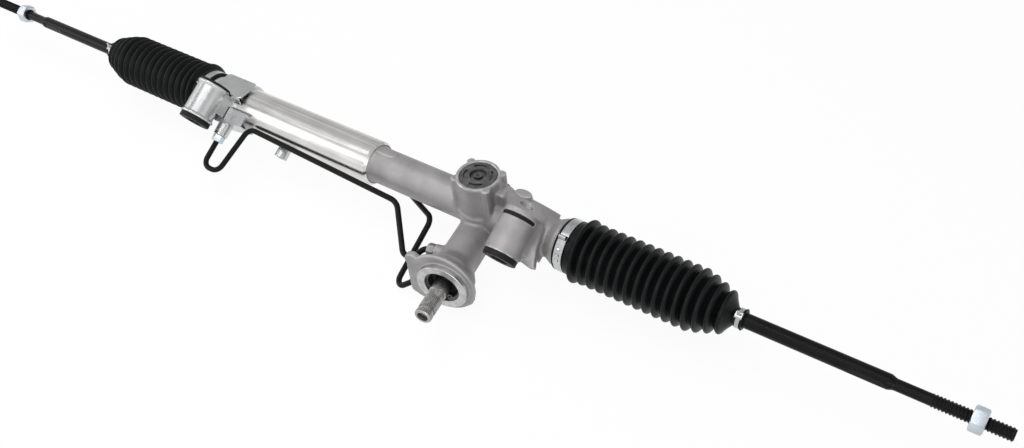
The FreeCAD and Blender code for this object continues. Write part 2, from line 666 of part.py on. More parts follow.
def cylinder():
    """Power cylinder: tube, bulkhead, rack seals, snap ring and the studs and port block on the tube."""
    node(turned("tube", "rack", [
        (HOUSING_LEFT, "tube_od / 2 - tube_wall"),
        (HOUSING_LEFT, "tube_od / 2"),
        ("-tube_start - tube_lip", "tube_od / 2"),
        ("-tube_start", "tube_od / 2 - tube_lip"),
        ("-tube_start", "tube_od / 2 - tube_wall"),
    ]), "cylinder_tube")
    groove = "(bulkhead_start + bulkhead_width - 5)"
    node(turned("bulkhead", "rack", [
        ("-bulkhead_start - bulkhead_width", RACK_FIT),
        ("-bulkhead_start - bulkhead_width", SPIGOT_RADIUS),
        (f"-{groove} - 3", SPIGOT_RADIUS),
        (f"-{groove} - 3", SPIGOT_RADIUS + " - 2"),
        (f"-{groove}", SPIGOT_RADIUS + " - 2"),
        (f"-{groove}", SPIGOT_RADIUS),
        ("-bulkhead_start", SPIGOT_RADIUS),
        ("-bulkhead_start", "seal_od / 2"),
        ("-bulkhead_start - seal_width", "seal_od / 2"),
        ("-bulkhead_start - seal_width", RACK_FIT),
    ]), "bulkhead")
    node(ring("bulkhead_ring", "rack", f"-{groove} - 2.8", f"-{groove} - 0.2",
              SPIGOT_RADIUS + " - 2", SPIGOT_RADIUS), "bulkhead_o_ring")
    node(ring("snap", "rack", "-bulkhead_start - bulkhead_width - snap_wire",
              "-bulkhead_start - bulkhead_width", SPIGOT_RADIUS + " - snap_wire", SPIGOT_RADIUS), "snap_ring")
    node(ring("far_seal", "rack", "-bulkhead_start - seal_width", "-bulkhead_start", RACK_FIT, "seal_od / 2"),
         "left_rack_seal")
    node(ring("near_seal", "rack", SPIGOT_TIP, SPIGOT_TIP + " + seal_width", RACK_FIT, "seal_od / 2"),
         "right_rack_seal")
    node(ring("guide", "rack", HOUSING_RIGHT + " - guide_width", HOUSING_RIGHT, RACK_FIT,
              "rack_dia / 2 + running_gap + guide_wall"), "rack_guide_bush")


def hexagon(across_flats):
    """Corners of a hexagon, two of its flats square to the second direction."""
    radius = f"({across_flats}) / 2 / cos(30)"
    return [(f"{radius} * cos({60 * i})", f"{radius} * sin({60 * i})") for i in range(6)]


def tube_fittings():
    """Port block and union boss under the tube, and the plain stud beside them."""
    block = slab("port_block", "mount", "XZ_Plane", [
        ("-port_x - 15", "tube_od / 4"),
        ("-port_x - 15", "tube_od / 2 + 4"),
        ("-port_x - 9", "tube_od / 2 + 8"),
        ("-port_x + 9", "tube_od / 2 + 6"),
        ("-port_x + 28", "tube_od / 2 + 3"),
        ("-port_x + 28", "tube_od / 4"),
    ], "port_block_width", ("0", "pipe_level - 14", "0"), "2")
    boss = rod("port_boss_round", "mount", "tube_od / 4", "port_seat", "port_boss / 2", "z",
               ("-port_x", "pipe_level", "0"))
    tube_room = rod("port_block_seat", "rack", "-port_x - 40", "-port_x + 50", "tube_od / 2")
    hole = rod("port_block_hole", "mount", "0", "port_seat + 1", "pipe_dia / 2", "z",
               ("-port_x", "pipe_level", "0"))
    rough = joined("port_block_rough", [block, boss])
    node(less("port_block_cut", rough, [tube_room, hole]), "end_port_block")
    stud = rod("stud_blank", "mount", "0", "stud_reach", "stud_dia / 2", "z", ("-stud_x", "0", "0"))
    bore = rod("stud_bore", "mount", "stud_reach - 8", "stud_reach + 1", "stud_dia / 4", "z",
               ("-stud_x", "0", "0"))
    room = rod("stud_seat", "rack", "-stud_x - 30", "-stud_x + 30", "tube_od / 2")
    node(less("stud_cut", stud, [room, bore]), "tube_stud")


def left_bracket():
    """Saddle round the tube with a flat top, and the eye for the left mount bush."""
    first = "-saddle_x - saddle_width / 2"
    last = "-saddle_x + saddle_width / 2"
    saddle = rod("saddle_round", "rack", first, last, "tube_od / 2 + saddle_wall")
    top = slab("saddle_top", "rack", "XY_Plane", [
        (first, "-saddle_flat / 2"),
        (first, "saddle_flat / 2"),
        (last, "saddle_flat / 2"),
        (last, "-saddle_flat / 2"),
    ], "tube_od / 4 + saddle_wall", ("0", "0", "tube_od / 4"), "2")
    web = slab("eye_web", "mount", "XY_Plane", [
        (LEFT_MOUNT + " - eye_od / 2 + 4", "tube_od / 4"),
        (LEFT_MOUNT + " - eye_od / 2 + 1", "eye_offset"),
        (LEFT_MOUNT + " + eye_od / 2 - 1", "eye_offset"),
        (last, "tube_od / 4"),
    ], "bush_length - 16", ("0", "0", "2"))
    eye = turned("eye", "mount", [
        ("0", "0"),
        ("0", "eye_od / 2 + eye_rim"),
        ("2.5", "eye_od / 2 + eye_rim"),
        ("4", "eye_od / 2"),
        ("bush_length - 4", "eye_od / 2"),
        ("bush_length - 2.5", "eye_od / 2 + eye_rim"),
        ("bush_length", "eye_od / 2 + eye_rim"),
        ("bush_length", "0"),
    ], "z", (LEFT_MOUNT, "eye_offset", "0"))
    seat = rod("saddle_seat", "rack", "-saddle_x - saddle_width", "-saddle_x + saddle_width", "tube_od / 2")
    bore = rod("eye_bore", "mount", "-1", "bush_length + 1", "bush_od / 2", "z",
               (LEFT_MOUNT, "eye_offset", "0"))
    port_room = slab("port_room", "mount", "XZ_Plane", [
        ("-port_x - 16", "tube_od / 4"),
        ("-port_x - 16", "tube_od"),
        ("-saddle_x + saddle_width", "tube_od"),
        ("-saddle_x + saddle_width", "tube_od / 4"),
    ], "port_block_width + 2", ("0", "pipe_level - 15", "0"))
    flange_room = rod("flange_room", "mount", "-flange_thick - 2", "0", "bush_flange / 2 + seat_gap", "z",
                      (LEFT_MOUNT, "eye_offset", "0"))
    rough = joined("bracket_rough", [saddle, top, web, eye])
    node(less("bracket_cut", rough, [seat, bore, port_room, flange_room]), "mount_bracket")


def mount_bushes():
    """A flanged rubber bush and a steel sleeve in each mount."""
    for side, station, offset, drop in (
        ("right", "mount_x", "bush_offset", "right_drop"),
        ("left", LEFT_MOUNT, "eye_offset", "0"),
    ):
        at = (station, offset, "0")
        node(turned(side + "_rubber", "mount", [
            (drop + " - flange_thick", "sleeve_od / 2"),
            (drop + " - flange_thick", "bush_flange / 2"),
            (drop, "bush_flange / 2"),
            (drop, "bush_od / 2"),
            ("bush_length", "bush_od / 2"),
            ("bush_length", "bush_flange / 2"),
            ("bush_length + flange_low - 0.5", "bush_flange / 2"),
            ("bush_length + flange_low", "bush_flange / 2 - 0.5"),
            ("bush_length + flange_low", "sleeve_od / 2"),
        ], "z", at), side + "_mount_bush")
        node(ring(side + "_sleeve", "mount", "-flange_thick", "bush_length + flange_thick + 0.5",
                  "bolt_hole / 2", "sleeve_od / 2", "z", at), side + "_bush_sleeve")


def yoke_parts():
    """Rack yoke with its liner, the disc springs behind it, and the slotted plug."""
    blank = rod("yoke_blank", "rack", "yoke_foot", "yoke_top", "yoke_dia / 2", "z")
    spring_room = rod("yoke_spring_room", "rack", "yoke_top - yoke_pocket", "yoke_top + 1",
                      "yoke_dia / 2 - 5", "z")
    trough = rod("yoke_trough", "rack", "-yoke_dia", "yoke_dia", RACK_FIT + " + liner_wall")
    node(less("yoke_cut", blank, [spring_room, trough]), "rack_yoke")
    sleeve = ring("liner_round", "rack", "-yoke_dia / 2 + 2", "yoke_dia / 2 - 2",
                  RACK_FIT, RACK_FIT + " + liner_wall")
    span = rod("liner_span", "rack", "yoke_foot + 2", "yoke_top", "yoke_dia / 2 - 2", "z")
    node(kept("liner_kept", sleeve, span), "yoke_liner")
    seat = "(yoke_top - yoke_pocket)"
    step = f"((tower_top - plug_thick - {seat}) / disc_count)"
    radii = ("yoke_dia / 2 - 5.5", "yoke_dia / 4 - 2")
    count = int(size("disc_count"))
    folds = [(f"{seat} + {step} * {i}", radii[i % 2]) for i in range(1, count)]
    node(turned("disc_springs", "rack", [
        (seat, radii[0]),
        *[(f"{at} - disc_thick / 2", radius) for at, radius in folds],
        (f"{seat} + {step} * {count} - disc_thick", radii[count % 2]),
        (f"{seat} + {step} * {count}", radii[count % 2]),
        *[(f"{at} + disc_thick / 2", radius) for at, radius in reversed(folds)],
        (f"{seat} + disc_thick", radii[0]),
    ], "z"), "yoke_spring")
    blank = turned("plug_blank", "rack", [
        ("tower_top - plug_thick", "0"),
        ("tower_top - plug_thick", "plug_dia / 2 - 1"),
        ("tower_top - plug_thick + 1", "plug_dia / 2"),
        ("tower_top - 0.8", "plug_dia / 2"),
        ("tower_top", "plug_dia / 2 - 0.8"),
        ("tower_top", "plug_dia / 4 + 1.5"),
        ("tower_top + 0.7", "plug_dia / 4 + 1"),
        ("tower_top + 0.7", "plug_dia / 4 - 1"),
        ("tower_top - plug_dish", "plug_dia / 4 - 2"),
        ("tower_top - plug_dish", "0"),
    ], "z")
    button = slab("plug_button", "rack", "XY_Plane", hexagon("plug_hex"), "plug_dish + 0.5",
                  ("0", "0", "tower_top - plug_dish"))
    slots = []
    for number in range(4):
        groove = turned(f"plug_groove_{number}", "rack", [
            ("tower_top - 1.6", "plug_dia / 2 - 6.2"),
            ("tower_top - 1.6", "plug_dia / 2 - 4"),
            ("tower_top + 1", "plug_dia / 2 - 4"),
            ("tower_top + 1", "plug_dia / 2 - 6.2"),
        ], "z", angle="plug_slot_angle")
        around = FreeCAD.Rotation(Vector(0, 0, 1), size("plug_turn") + 90 * number)
        groove.Placement = FreeCAD.Placement(groove.Placement.Base, around)
        slots.append(groove)
    dimple = turned("plug_dimple", "rack", [
        ("tower_top - plug_dish + 0.1", "0"),
        ("tower_top + 1", "1.8"),
        ("tower_top + 1", "0"),
    ], "z")
    node(less("plug_cut", joined("plug_rough", [blank, button]), slots + [dimple]), "yoke_plug")


def tower_parts():
    """Lower bearing and cap, upper bearing, input seal and the retaining ring over it."""
    node(ring("lower_race", "pinion", "-bearing_start - bearing_width", "-bearing_start",
              "bearing_od / 2 - race_wall", "bearing_od / 2"), "lower_bearing_outer")
    cap = rod("cap_round", "pinion", "-tower_tail", "-tower_tail + cap_depth", CAP_RADIUS)
    grip = slab("cap_grip", "pinion", "YZ_Plane", hexagon("cap_flats"), "5", ("-tower_tail - 5", "0", "0"))
    room = rod("cap_room", "pinion", "-tower_tail + 2", "-tower_tail + cap_depth + 1", CAP_RADIUS + " - 3")
    node(less("cap_cut", joined("cap_rough", [cap, grip]), [room]), "lower_cap")
    node(ring("upper_race", "pinion", "valve_end + 1.5", SEAL_START, "shaft_dia / 2 + running_gap",
              "valve_bore / 2"), "upper_bearing")
    node(turned("seal_lip", "pinion", [
        (SEAL_START, "shaft_dia / 2 + seat_gap"),
        (SEAL_START, "mouth_dia / 2"),
        (SEAL_START + " + input_seal_width", "mouth_dia / 2"),
        (SEAL_START + " + input_seal_width", "mouth_dia / 2 - 3"),
        (SEAL_START + " + 3", "mouth_dia / 2 - 4"),
        (SEAL_START + " + 3", "shaft_dia / 2 + 2"),
        (SEAL_START + " + 4.5", "shaft_dia / 2 + seat_gap"),
    ]), "input_seal")
    loop = ring("clip_loop", "pinion", CLIP_START, CLIP_START + " + clip_thick",
                "mouth_dia / 2 - clip_width", "mouth_dia / 2")
    gap = slab("clip_gap", "pinion", "YZ_Plane", [
        ("-3", "0"),
        ("-3", "-mouth_dia"),
        ("3", "-mouth_dia"),
        ("3", "0"),
    ], "clip_thick + 2", (CLIP_START + " - 1", "0", "0"))
    ears = []
    holes = []
    for name, across in (("a", "-5.5"), ("b", "5.5")):
        at = ("0", across, "-mouth_dia / 2 + 4.2")
        ears.append(rod("clip_ear_" + name, "pinion", CLIP_START, CLIP_START + " + clip_thick", "3", at=at))
        holes.append(rod("clip_hole_" + name, "pinion", CLIP_START + " - 1", CLIP_START + " + clip_thick + 1",
                         "1.1", at=at))
    open_loop = less("clip_open", loop, [gap])
    node(less("clip_cut", joined("clip_rough", [open_loop] + ears), holes), "retaining_ring")


def pocket(body, sketch, length):
    """Cut an outline out of a body, half of the length to each side of its plane."""
    cut = body.newObject("PartDesign::Pocket", sketch.Name + "_cut")
    cut.Profile = sketch
    cut.Midplane = True
    bind(cut, Length=length)
    body.Tip = cut
    return cut


def toothed_bar():
    """Round bar with a flat and slanted teeth that match the pinion's helix."""
    body = turned("rack_blank", "rack", [
        (outward(-1, "rack_half"), "0"),
        (outward(-1, "rack_half"), "rack_dia / 2 - rack_chamfer"),
        (outward(-1, "rack_half - rack_chamfer"), "rack_dia / 2"),
        (outward(1, "rack_half - rack_chamfer"), "rack_dia / 2"),
        (outward(1, "rack_half"), "rack_dia / 2 - rack_chamfer"),
        (outward(1, "rack_half"), "0"),
    ])
    half_length = f"(rack_gaps / 2 * {RACK_PITCH} + 3)"
    low = "-rack_dia"
    flat = outline(body, "XZ_Plane", [
        (f"-{half_length}", low),
        (f"-{half_length}", f"-{PITCH_LINE} - rack_addendum"),
        (half_length, f"-{PITCH_LINE} - rack_addendum"),
        (half_length, low),
    ])
    pocket(body, flat, "2 * rack_dia")
    flank = "tan(pressure)"
    depth = "(pinion_addendum + tip_room)"
    over = f"(rack_dia / 2 - {PITCH_LINE})"
    half = f"(pi * tooth_module / 4 + {TOOTH_SHIFT} * {flank} + backlash / 2)"
    gap = outline(body, "XZ_Plane", [
        (f"-{half} - {over} * {flank}", f"-{PITCH_LINE} - {over}"),
        (f"-{half} + {depth} * {flank}", f"-{PITCH_LINE} + {depth}"),
        (f"{half} - {depth} * {flank}", f"-{PITCH_LINE} + {depth}"),
        (f"{half} + {over} * {flank}", f"-{PITCH_LINE} - {over}"),
    ])
    slant = FreeCAD.Rotation(Vector(0, -1, 0), size("helix") - size("pinion_tilt"))
    gap.AttachmentOffset = FreeCAD.Placement(Vector(), slant)
    bind(gap, **{
        "AttachmentOffset.Rotation.Angle": "helix - pinion_tilt",
        "AttachmentOffset.Base.x": f"-(rack_gaps - 1) / 2 * {RACK_PITCH}",
    })
    first = pocket(body, gap, "3 * rack_dia")
    pattern = body.newObject("PartDesign::LinearPattern", "rack_teeth")
    pattern.Originals = [first]
    pattern.Direction = (next(f for f in body.Origin.OriginFeatures if f.Role == "X_Axis"), [""])
    bind(pattern, Length=f"(rack_gaps - 1) * {RACK_PITCH}", Occurrences="rack_gaps")
    body.Tip = pattern
    return body


def ball(name, side, radius):
    """A sphere round one of the two ball centres."""
    sphere = doc.addObject("Part::Sphere", name)
    bind(sphere, Radius=radius)
    place(sphere, "rack", outward(side, "ball_half"))
    poles_along_rack = FreeCAD.Rotation(Vector(0, 1, 0), 90)
    sphere.Placement = FreeCAD.Placement(sphere.Placement.Base, poles_along_rack)
    return sphere


def from_ball(side, corners):
    """Corners whose stations are counted outwards from a ball."""
    return [(outward(side, f"ball_half + {station}"), radius) for station, radius in corners]


def on_sphere(radius, angles):
    """Corners on a sphere round a ball, at angles from the plane square to the rack."""
    return [(f"{radius} * sin({angle})", f"{radius} * cos({angle})") for angle in angles]


def rack_parts():
    """Rack bar, the piston with its ring, and the ball housings."""
    node(toothed_bar(), "rack_bar")
    bore = "tube_od / 2 - tube_wall"
    node(turned("piston_turned", "rack", [
        ("-piston_x - piston_width / 2", "rack_dia / 2"),
        ("-piston_x - piston_width / 2", f"{bore} - seat_gap - 1"),
        ("-piston_x - piston_width / 2 + 1", f"{bore} - seat_gap"),
        ("-piston_x - piston_ring / 2", f"{bore} - seat_gap"),
        ("-piston_x - piston_ring / 2", f"{bore} - piston_ring"),
        ("-piston_x + piston_ring / 2", f"{bore} - piston_ring"),
        ("-piston_x + piston_ring / 2", f"{bore} - seat_gap"),
        ("-piston_x + piston_width / 2 - 1", f"{bore} - seat_gap"),
        ("-piston_x + piston_width / 2", f"{bore} - seat_gap - 1"),
        ("-piston_x + piston_width / 2", "rack_dia / 2"),
    ]), "piston")
    node(ring("piston_band", "rack", "-piston_x - piston_ring / 2", "-piston_x + piston_ring / 2",
              f"{bore} - piston_ring", f"{bore} - running_gap"), "piston_ring")
    for name, side in SIDES:
        shell = turned(name + "_socket_blank", "rack", [
            (outward(side, station), radius)
            for station, radius in (
                ("rack_half", "0"),
                ("rack_half", "socket_od / 2 - 3.5"),
                ("rack_half + 2", "socket_od / 2 - 1.5"),
                ("rack_half + 12", "socket_od / 2 - 1.5"),
                ("rack_half + 13.5", "socket_od / 2"),
                ("ball_half + socket_nose - 7", "socket_od / 2"),
                ("ball_half + socket_nose", "mouth_room / 2 + 2.5"),
                ("ball_half + socket_nose", "0"),
            )
        ])
        mouth = turned(name + "_socket_mouth", "rack", from_ball(side, [
            ("0", "0"),
            ("0", "mouth_room / 2 - 1"),
            ("socket_nose - 2", "mouth_room / 2 - 0.8"),
            ("socket_nose + 1", "mouth_room / 2 + 0.6"),
            ("socket_nose + 1", "0"),
        ]))
        around = on_sphere("(ball_dia / 2 + seat_wall) / cos(9)", (-85, -67, -50, -33, -15, 0, 15, 30, 45))
        closed = [(around[0][0], "0")] + around + [(around[-1][0], "0")]
        room = turned(name + "_socket_room", "rack", from_ball(side, closed))
        node(less(name + "_socket_cut", shell, [mouth, room]), name + "_ball_housing")


def tooth_half_angle(radius, base_radius, half_angle):
    """Half of an involute tooth's angle at a radius; half_angle is that at the base circle."""
    if radius <= base_radius:
        return half_angle
    roll = math.acos(base_radius / radius)
    return half_angle - math.tan(roll) + roll


def tooth_section(station):
    """Cross-section of the pinion teeth at a station, turned with the helix.

    One tooth points up at the yoke axis.
    """
    count = int(size("teeth_count"))
    helix = math.radians(size("helix"))
    module = size("tooth_module")
    pitch_radius = count * module / (2 * math.cos(helix))
    slope = math.tan(math.radians(size("pressure")))
    shift = size("pinion_addendum") - module
    pressure = math.atan(slope / math.cos(helix))
    base_radius = pitch_radius * math.cos(pressure)
    tip_radius = pitch_radius + size("pinion_addendum")
    root_radius = pitch_radius - size("rack_addendum") - size("tip_room")
    thickness = math.pi * module / 2 + 2 * shift * slope - size("backlash")
    half_angle = thickness / (2 * math.cos(helix) * pitch_radius) + math.tan(pressure) - pressure
    turn = -station * math.tan(helix) / pitch_radius
    spacing = 2 * math.pi / count
    radii = [root_radius] + [base_radius + (tip_radius - base_radius) * i / 3 for i in range(4)]
    edges = []
    for number in range(count):
        middle = turn + number * spacing
        flanks = []
        for sign, order in ((-1, radii), (1, radii[::-1])):
            angles = [middle + sign * tooth_half_angle(radius, base_radius, half_angle) for radius in order]
            points = [
                Vector(station, radius * math.sin(angle), radius * math.cos(angle))
                for radius, angle in zip(order, angles)
            ]
            flank = Part.BSplineCurve()
            flank.interpolate(points)
            flanks.append((flank.toShape(), points[0], points[-1]))
        tip = Vector(station, tip_radius * math.sin(middle), tip_radius * math.cos(middle))
        gap = middle + spacing / 2
        root = Vector(station, root_radius * math.sin(gap), root_radius * math.cos(gap))
        after = gap + spacing / 2 - tooth_half_angle(root_radius, base_radius, half_angle)
        next_foot = Vector(station, root_radius * math.sin(after), root_radius * math.cos(after))
        rising, falling = flanks
        edges += [
            rising[0],
            Part.Arc(rising[2], tip, falling[1]).toShape(),
            falling[0],
            Part.Arc(falling[2], root, next_foot).toShape(),
        ]
    return Part.Wire(edges)


def grooved(body, corners, start, length, count):
    """Cut an outline along a turned body from a station on, repeated round its axis."""
    sketch = outline(body, "YZ_Plane", corners)
    bind(sketch, **{"AttachmentOffset.Base.z": start})
    cut = body.newObject("PartDesign::Pocket", sketch.Name + "_cut")
    cut.Profile = sketch
    cut.Reversed = True
    bind(cut, Length=length)
    pattern = body.newObject("PartDesign::PolarPattern", sketch.Name + "_pattern")
    pattern.Originals = [cut]
    pattern.Axis = (next(f for f in body.Origin.OriginFeatures if f.Role == "X_Axis"), [""])
    pattern.Angle = 360
    bind(pattern, Occurrences=count)
    body.Tip = pattern
    return body


def pinion_parts():
    """Pinion, the valve sleeve it carries with its seal rings, and what sits on its journal."""
    half = size("teeth_half")
    sections = [tooth_section(-half + 2 * half * i / 6) for i in range(7)]
    teeth = shaped("pinion_teeth", Part.makeLoft(sections, True, False), "pinion")
    blank = turned("pinion_blank", "pinion", [
        ("2 - tower_tail", "0"),
        ("2 - tower_tail", "journal_dia / 2 - 2"),
        ("3 - tower_tail", "journal_dia / 2 - 1"),
        ("-bearing_start - bearing_width", "journal_dia / 2 - 1"),
        ("-bearing_start - bearing_width", "journal_dia / 2"),
        ("-bearing_start", "journal_dia / 2"),
        ("-bearing_start", "journal_dia / 2 + 2"),
        ("-bearing_start + 2", "journal_dia / 2 + 2"),
        ("-bearing_start + 3", "journal_dia / 2"),
        ("teeth_half + 1", "journal_dia / 2"),
        ("teeth_half + 3", "journal_dia / 2 + 2.5"),
        ("valve_start - 6", "journal_dia / 2 + 2.5"),
        ("valve_start - 5", "valve_bore / 2 - 2"),
        ("valve_start", "valve_bore / 2 - 2"),
        ("valve_start", "0"),
    ])
    hollow = rod("pinion_hollow", "pinion", "torsion_start - 1", "valve_start + 1",
                 "torsion_head / 2 + running_gap")
    node(less("pinion_cut", joined("pinion_rough", [blank, teeth]), [hollow]), "pinion_shaft")
    node(ring("inner_race", "pinion", "-bearing_start - bearing_width", "-bearing_start", "journal_dia / 2",
              "bearing_od / 2 - race_wall - running_gap"), "lower_bearing_inner")
    nut = slab("pinion_nut_blank", "pinion", "YZ_Plane", hexagon("nut_on_pinion"), "bearing_width - 3",
               ("-bearing_start - 2 * bearing_width + 3", "0", "0"))
    nut_bore = rod("pinion_nut_bore", "pinion", "-tower_tail", "0", "journal_dia / 2 - 1")
    node(less("pinion_nut_cut", nut, [nut_bore]), "pinion_nut")

    outer = "valve_bore / 2 - running_gap"
    spacing = "(valve_end - valve_start - 8) / 3"
    profile = [("valve_start", "shaft_dia / 2 + running_gap"), ("valve_start", outer)]
    bands = []
    for number in range(4):
        middle = f"(valve_start + 4 + {spacing} * {number})"
        start, end = f"{middle} - sleeve_ring_width / 2", f"{middle} + sleeve_ring_width / 2"
        floor = f"{outer} - sleeve_ring_depth"
        profile += [(start, outer), (start, floor), (end, floor), (end, outer)]
        bands.append(ring(f"sleeve_band_{number}", "pinion", start, end, floor, outer))
        if number < 3:
            centre = f"({middle} + {spacing} / 2)"
            profile += [
                (f"{centre} - 3", outer),
                (f"{centre} - 2.4", floor),
                (f"{centre} + 2.4", floor),
                (f"{centre} + 3", outer),
            ]
    profile += [("valve_end", outer), ("valve_end", "shaft_dia / 2 + running_gap")]
    sleeve = grooved(turned("sleeve_turned", "pinion", profile), [
        ("-land_groove_width / 2", "shaft_dia / 2 - 1"),
        ("-land_groove_width / 2", "shaft_dia / 2 + 1.3"),
        ("land_groove_width / 2", "shaft_dia / 2 + 1.3"),
        ("land_groove_width / 2", "shaft_dia / 2 - 1"),
    ], "valve_start + 8", "valve_end - valve_start - 16", "land_grooves")
    node(sleeve, "valve_sleeve")
    node(joined("sleeve_bands", bands), "sleeve_rings")


def input_parts():
    """Input shaft with valve grooves and spline, the torsion bar inside it and the cross pin."""
    spline_start = "(shaft_end - spline_length)"
    shaft = turned("input_turned", "pinion", [
        ("valve_start + 1", "torsion_head / 2"),
        ("valve_start + 1", "shaft_dia / 2 - 1"),
        ("valve_start + 2", "shaft_dia / 2"),
        ("neck_start", "shaft_dia / 2"),
        ("neck_start + 0.5", "shaft_neck / 2"),
        (f"{spline_start} - 0.5", "shaft_neck / 2"),
        (spline_start, "spline_dia / 2"),
        ("shaft_end - 8.5", "spline_dia / 2"),
        ("shaft_end - 8.5", "spline_dia / 2 - 1.1"),
        ("shaft_end - 5.5", "spline_dia / 2 - 1.1"),
        ("shaft_end - 5.5", "spline_dia / 2"),
        ("shaft_end - 1", "spline_dia / 2"),
        ("shaft_end", "spline_dia / 2 - 1"),
        ("shaft_end", "end_recess / 2"),
        ("shaft_end - 5", "end_recess / 2"),
        ("shaft_end - 5", "torsion_head / 2"),
    ])
    grooved(shaft, [
        ("-land_groove_width / 2", "shaft_dia / 2 - 1.3"),
        ("-land_groove_width / 2", "shaft_dia / 2 + 1"),
        ("land_groove_width / 2", "shaft_dia / 2 + 1"),
        ("land_groove_width / 2", "shaft_dia / 2 - 1.3"),
    ], "valve_start + 8", "valve_end - valve_start - 16", "land_grooves")
    grooved(shaft, [
        ("0", "spline_dia / 2 - 0.55"),
        ("-0.55", "spline_dia / 2 + 0.1"),
        ("0.55", "spline_dia / 2 + 0.1"),
    ], f"{spline_start} - 1", "spline_length + 2", "spline_teeth")
    pin_at = ("cross_pin_x", "0", "0")
    pin_hole = rod("pin_hole", "pinion", "-spline_dia", "spline_dia", "cross_pin_dia / 2", "z", pin_at)
    node(less("input_cut", shaft, [pin_hole]), "input_shaft")
    bar = turned("torsion_turned", "pinion", [
        ("torsion_start", "0"),
        ("torsion_start", "torsion_head / 2"),
        ("valve_start - 7", "torsion_head / 2"),
        ("valve_start - 5", "torsion_dia / 2"),
        ("cross_pin_x - 8", "torsion_dia / 2"),
        ("cross_pin_x - 6", "torsion_head / 2"),
        ("shaft_end - 4", "torsion_head / 2"),
        ("shaft_end - 4", "0"),
    ])
    bar_hole = rod("bar_hole", "pinion", "-spline_dia", "spline_dia", "cross_pin_dia / 2", "z", pin_at)
    node(less("torsion_cut", bar, [bar_hole]), "torsion_bar")
    reach = "spline_dia / 2 - 1"
    node(rod("pin_round", "pinion", f"-({reach})", reach, "cross_pin_dia / 2", "z", pin_at), "cross_pin")


def bellows_parts():
    """Bellows on both ends of the housing, with the large and the small clamps."""
    start = "(housing_half - cuff_overlap)"
    end = "(housing_half + small_end)"
    full = int(size("crest_count"))
    smaller = int(size("cone_count"))
    skin = [
        (start, "cuff_od / 2"),
        ("housing_half + crest_start - crest_pitch / 2", "cuff_od / 2"),
    ]
    for number in range(full + smaller):
        crest = f"(housing_half + crest_start + crest_pitch * {number})"
        lost = max(0, number - full + 1)
        shrink = f"(crest_dia - cone_end_dia) / 2 * {lost} / cone_count"
        next_shrink = f"(crest_dia - cone_end_dia) / 2 * {max(0, number - full + 1.5)} / cone_count"
        skin.append((crest, f"crest_dia / 2 - {shrink}"))
        if number < full + smaller - 1:
            skin.append((f"{crest} + crest_pitch / 2", f"root_dia / 2 - {next_shrink}"))
    skin += [
        (f"{end} - neck_length", "rod_dia / 2 + seat_gap + bellows_wall"),
        (end, "rod_dia / 2 + seat_gap + bellows_wall"),
    ]
    cone_start = f"(housing_half + crest_start + crest_pitch * {full - 1})"
    inner = [
        (start, "tube_od / 2"),
        ("housing_half + 1", "tube_od / 2"),
        ("housing_half + 3", "root_dia / 2 - bellows_wall"),
        (cone_start, "root_dia / 2 - bellows_wall"),
        (f"{end} - neck_length", "rod_dia / 2 + seat_gap"),
        (end, "rod_dia / 2 + seat_gap"),
    ]
    for name, side in SIDES:
        corners = [(outward(side, at), radius) for at, radius in skin + inner[::-1]]
        node(turned(name + "_boot", "rack", corners), name + "_bellows")
        middle = f"({start} + cuff_overlap / 2)"
        node(clamp(name + "_large_band", side, middle, "cuff_od / 2", "large_band"), name + "_large_clamp")
        middle = f"({end} - neck_length / 2)"
        radius = "rod_dia / 2 + bellows_wall + 2 * seat_gap"
        node(clamp(name + "_small_band", side, middle, radius, "small_band"), name + "_small_clamp")


def clamp(name, side, middle, radius, width):
    """A band round the bellows with its raised lock."""
    at = outward(side, middle)
    band = ring(name, "rack", f"{at} - {width} / 2", f"{at} + {width} / 2", radius, f"{radius} + band_thick")
    lock = slab(name + "_lock", "mount", "XY_Plane", [
        (f"{at} - {width} / 2 + 0.5", f"{radius} + band_thick / 2"),
        (f"{at} - {width} / 2 + 0.5", f"{radius} + band_thick + band_lock / 2"),
        (f"{at} + {width} / 2 - 0.5", f"{radius} + band_thick + band_lock / 2"),
        (f"{at} + {width} / 2 - 0.5", f"{radius} + band_thick / 2"),
    ], "band_lock", ("0", "0", "-band_lock / 2"))
    return joined(name + "_locked", [band, lock])


def ball_seat(name, side):
    """Plastic seat that wraps the ball. It turns with the tie rod, so no corner leaves its sphere."""
    angles = (-50, -33, -15, 0, 15, 30)
    outside = on_sphere("(ball_dia / 2 + seat_wall - seat_gap)", angles)
    inside = on_sphere("(ball_dia / 2 + 2 * seat_gap)", angles)
    return turned(name + "_seat", "rack", from_ball(side, outside + inside[::-1]))


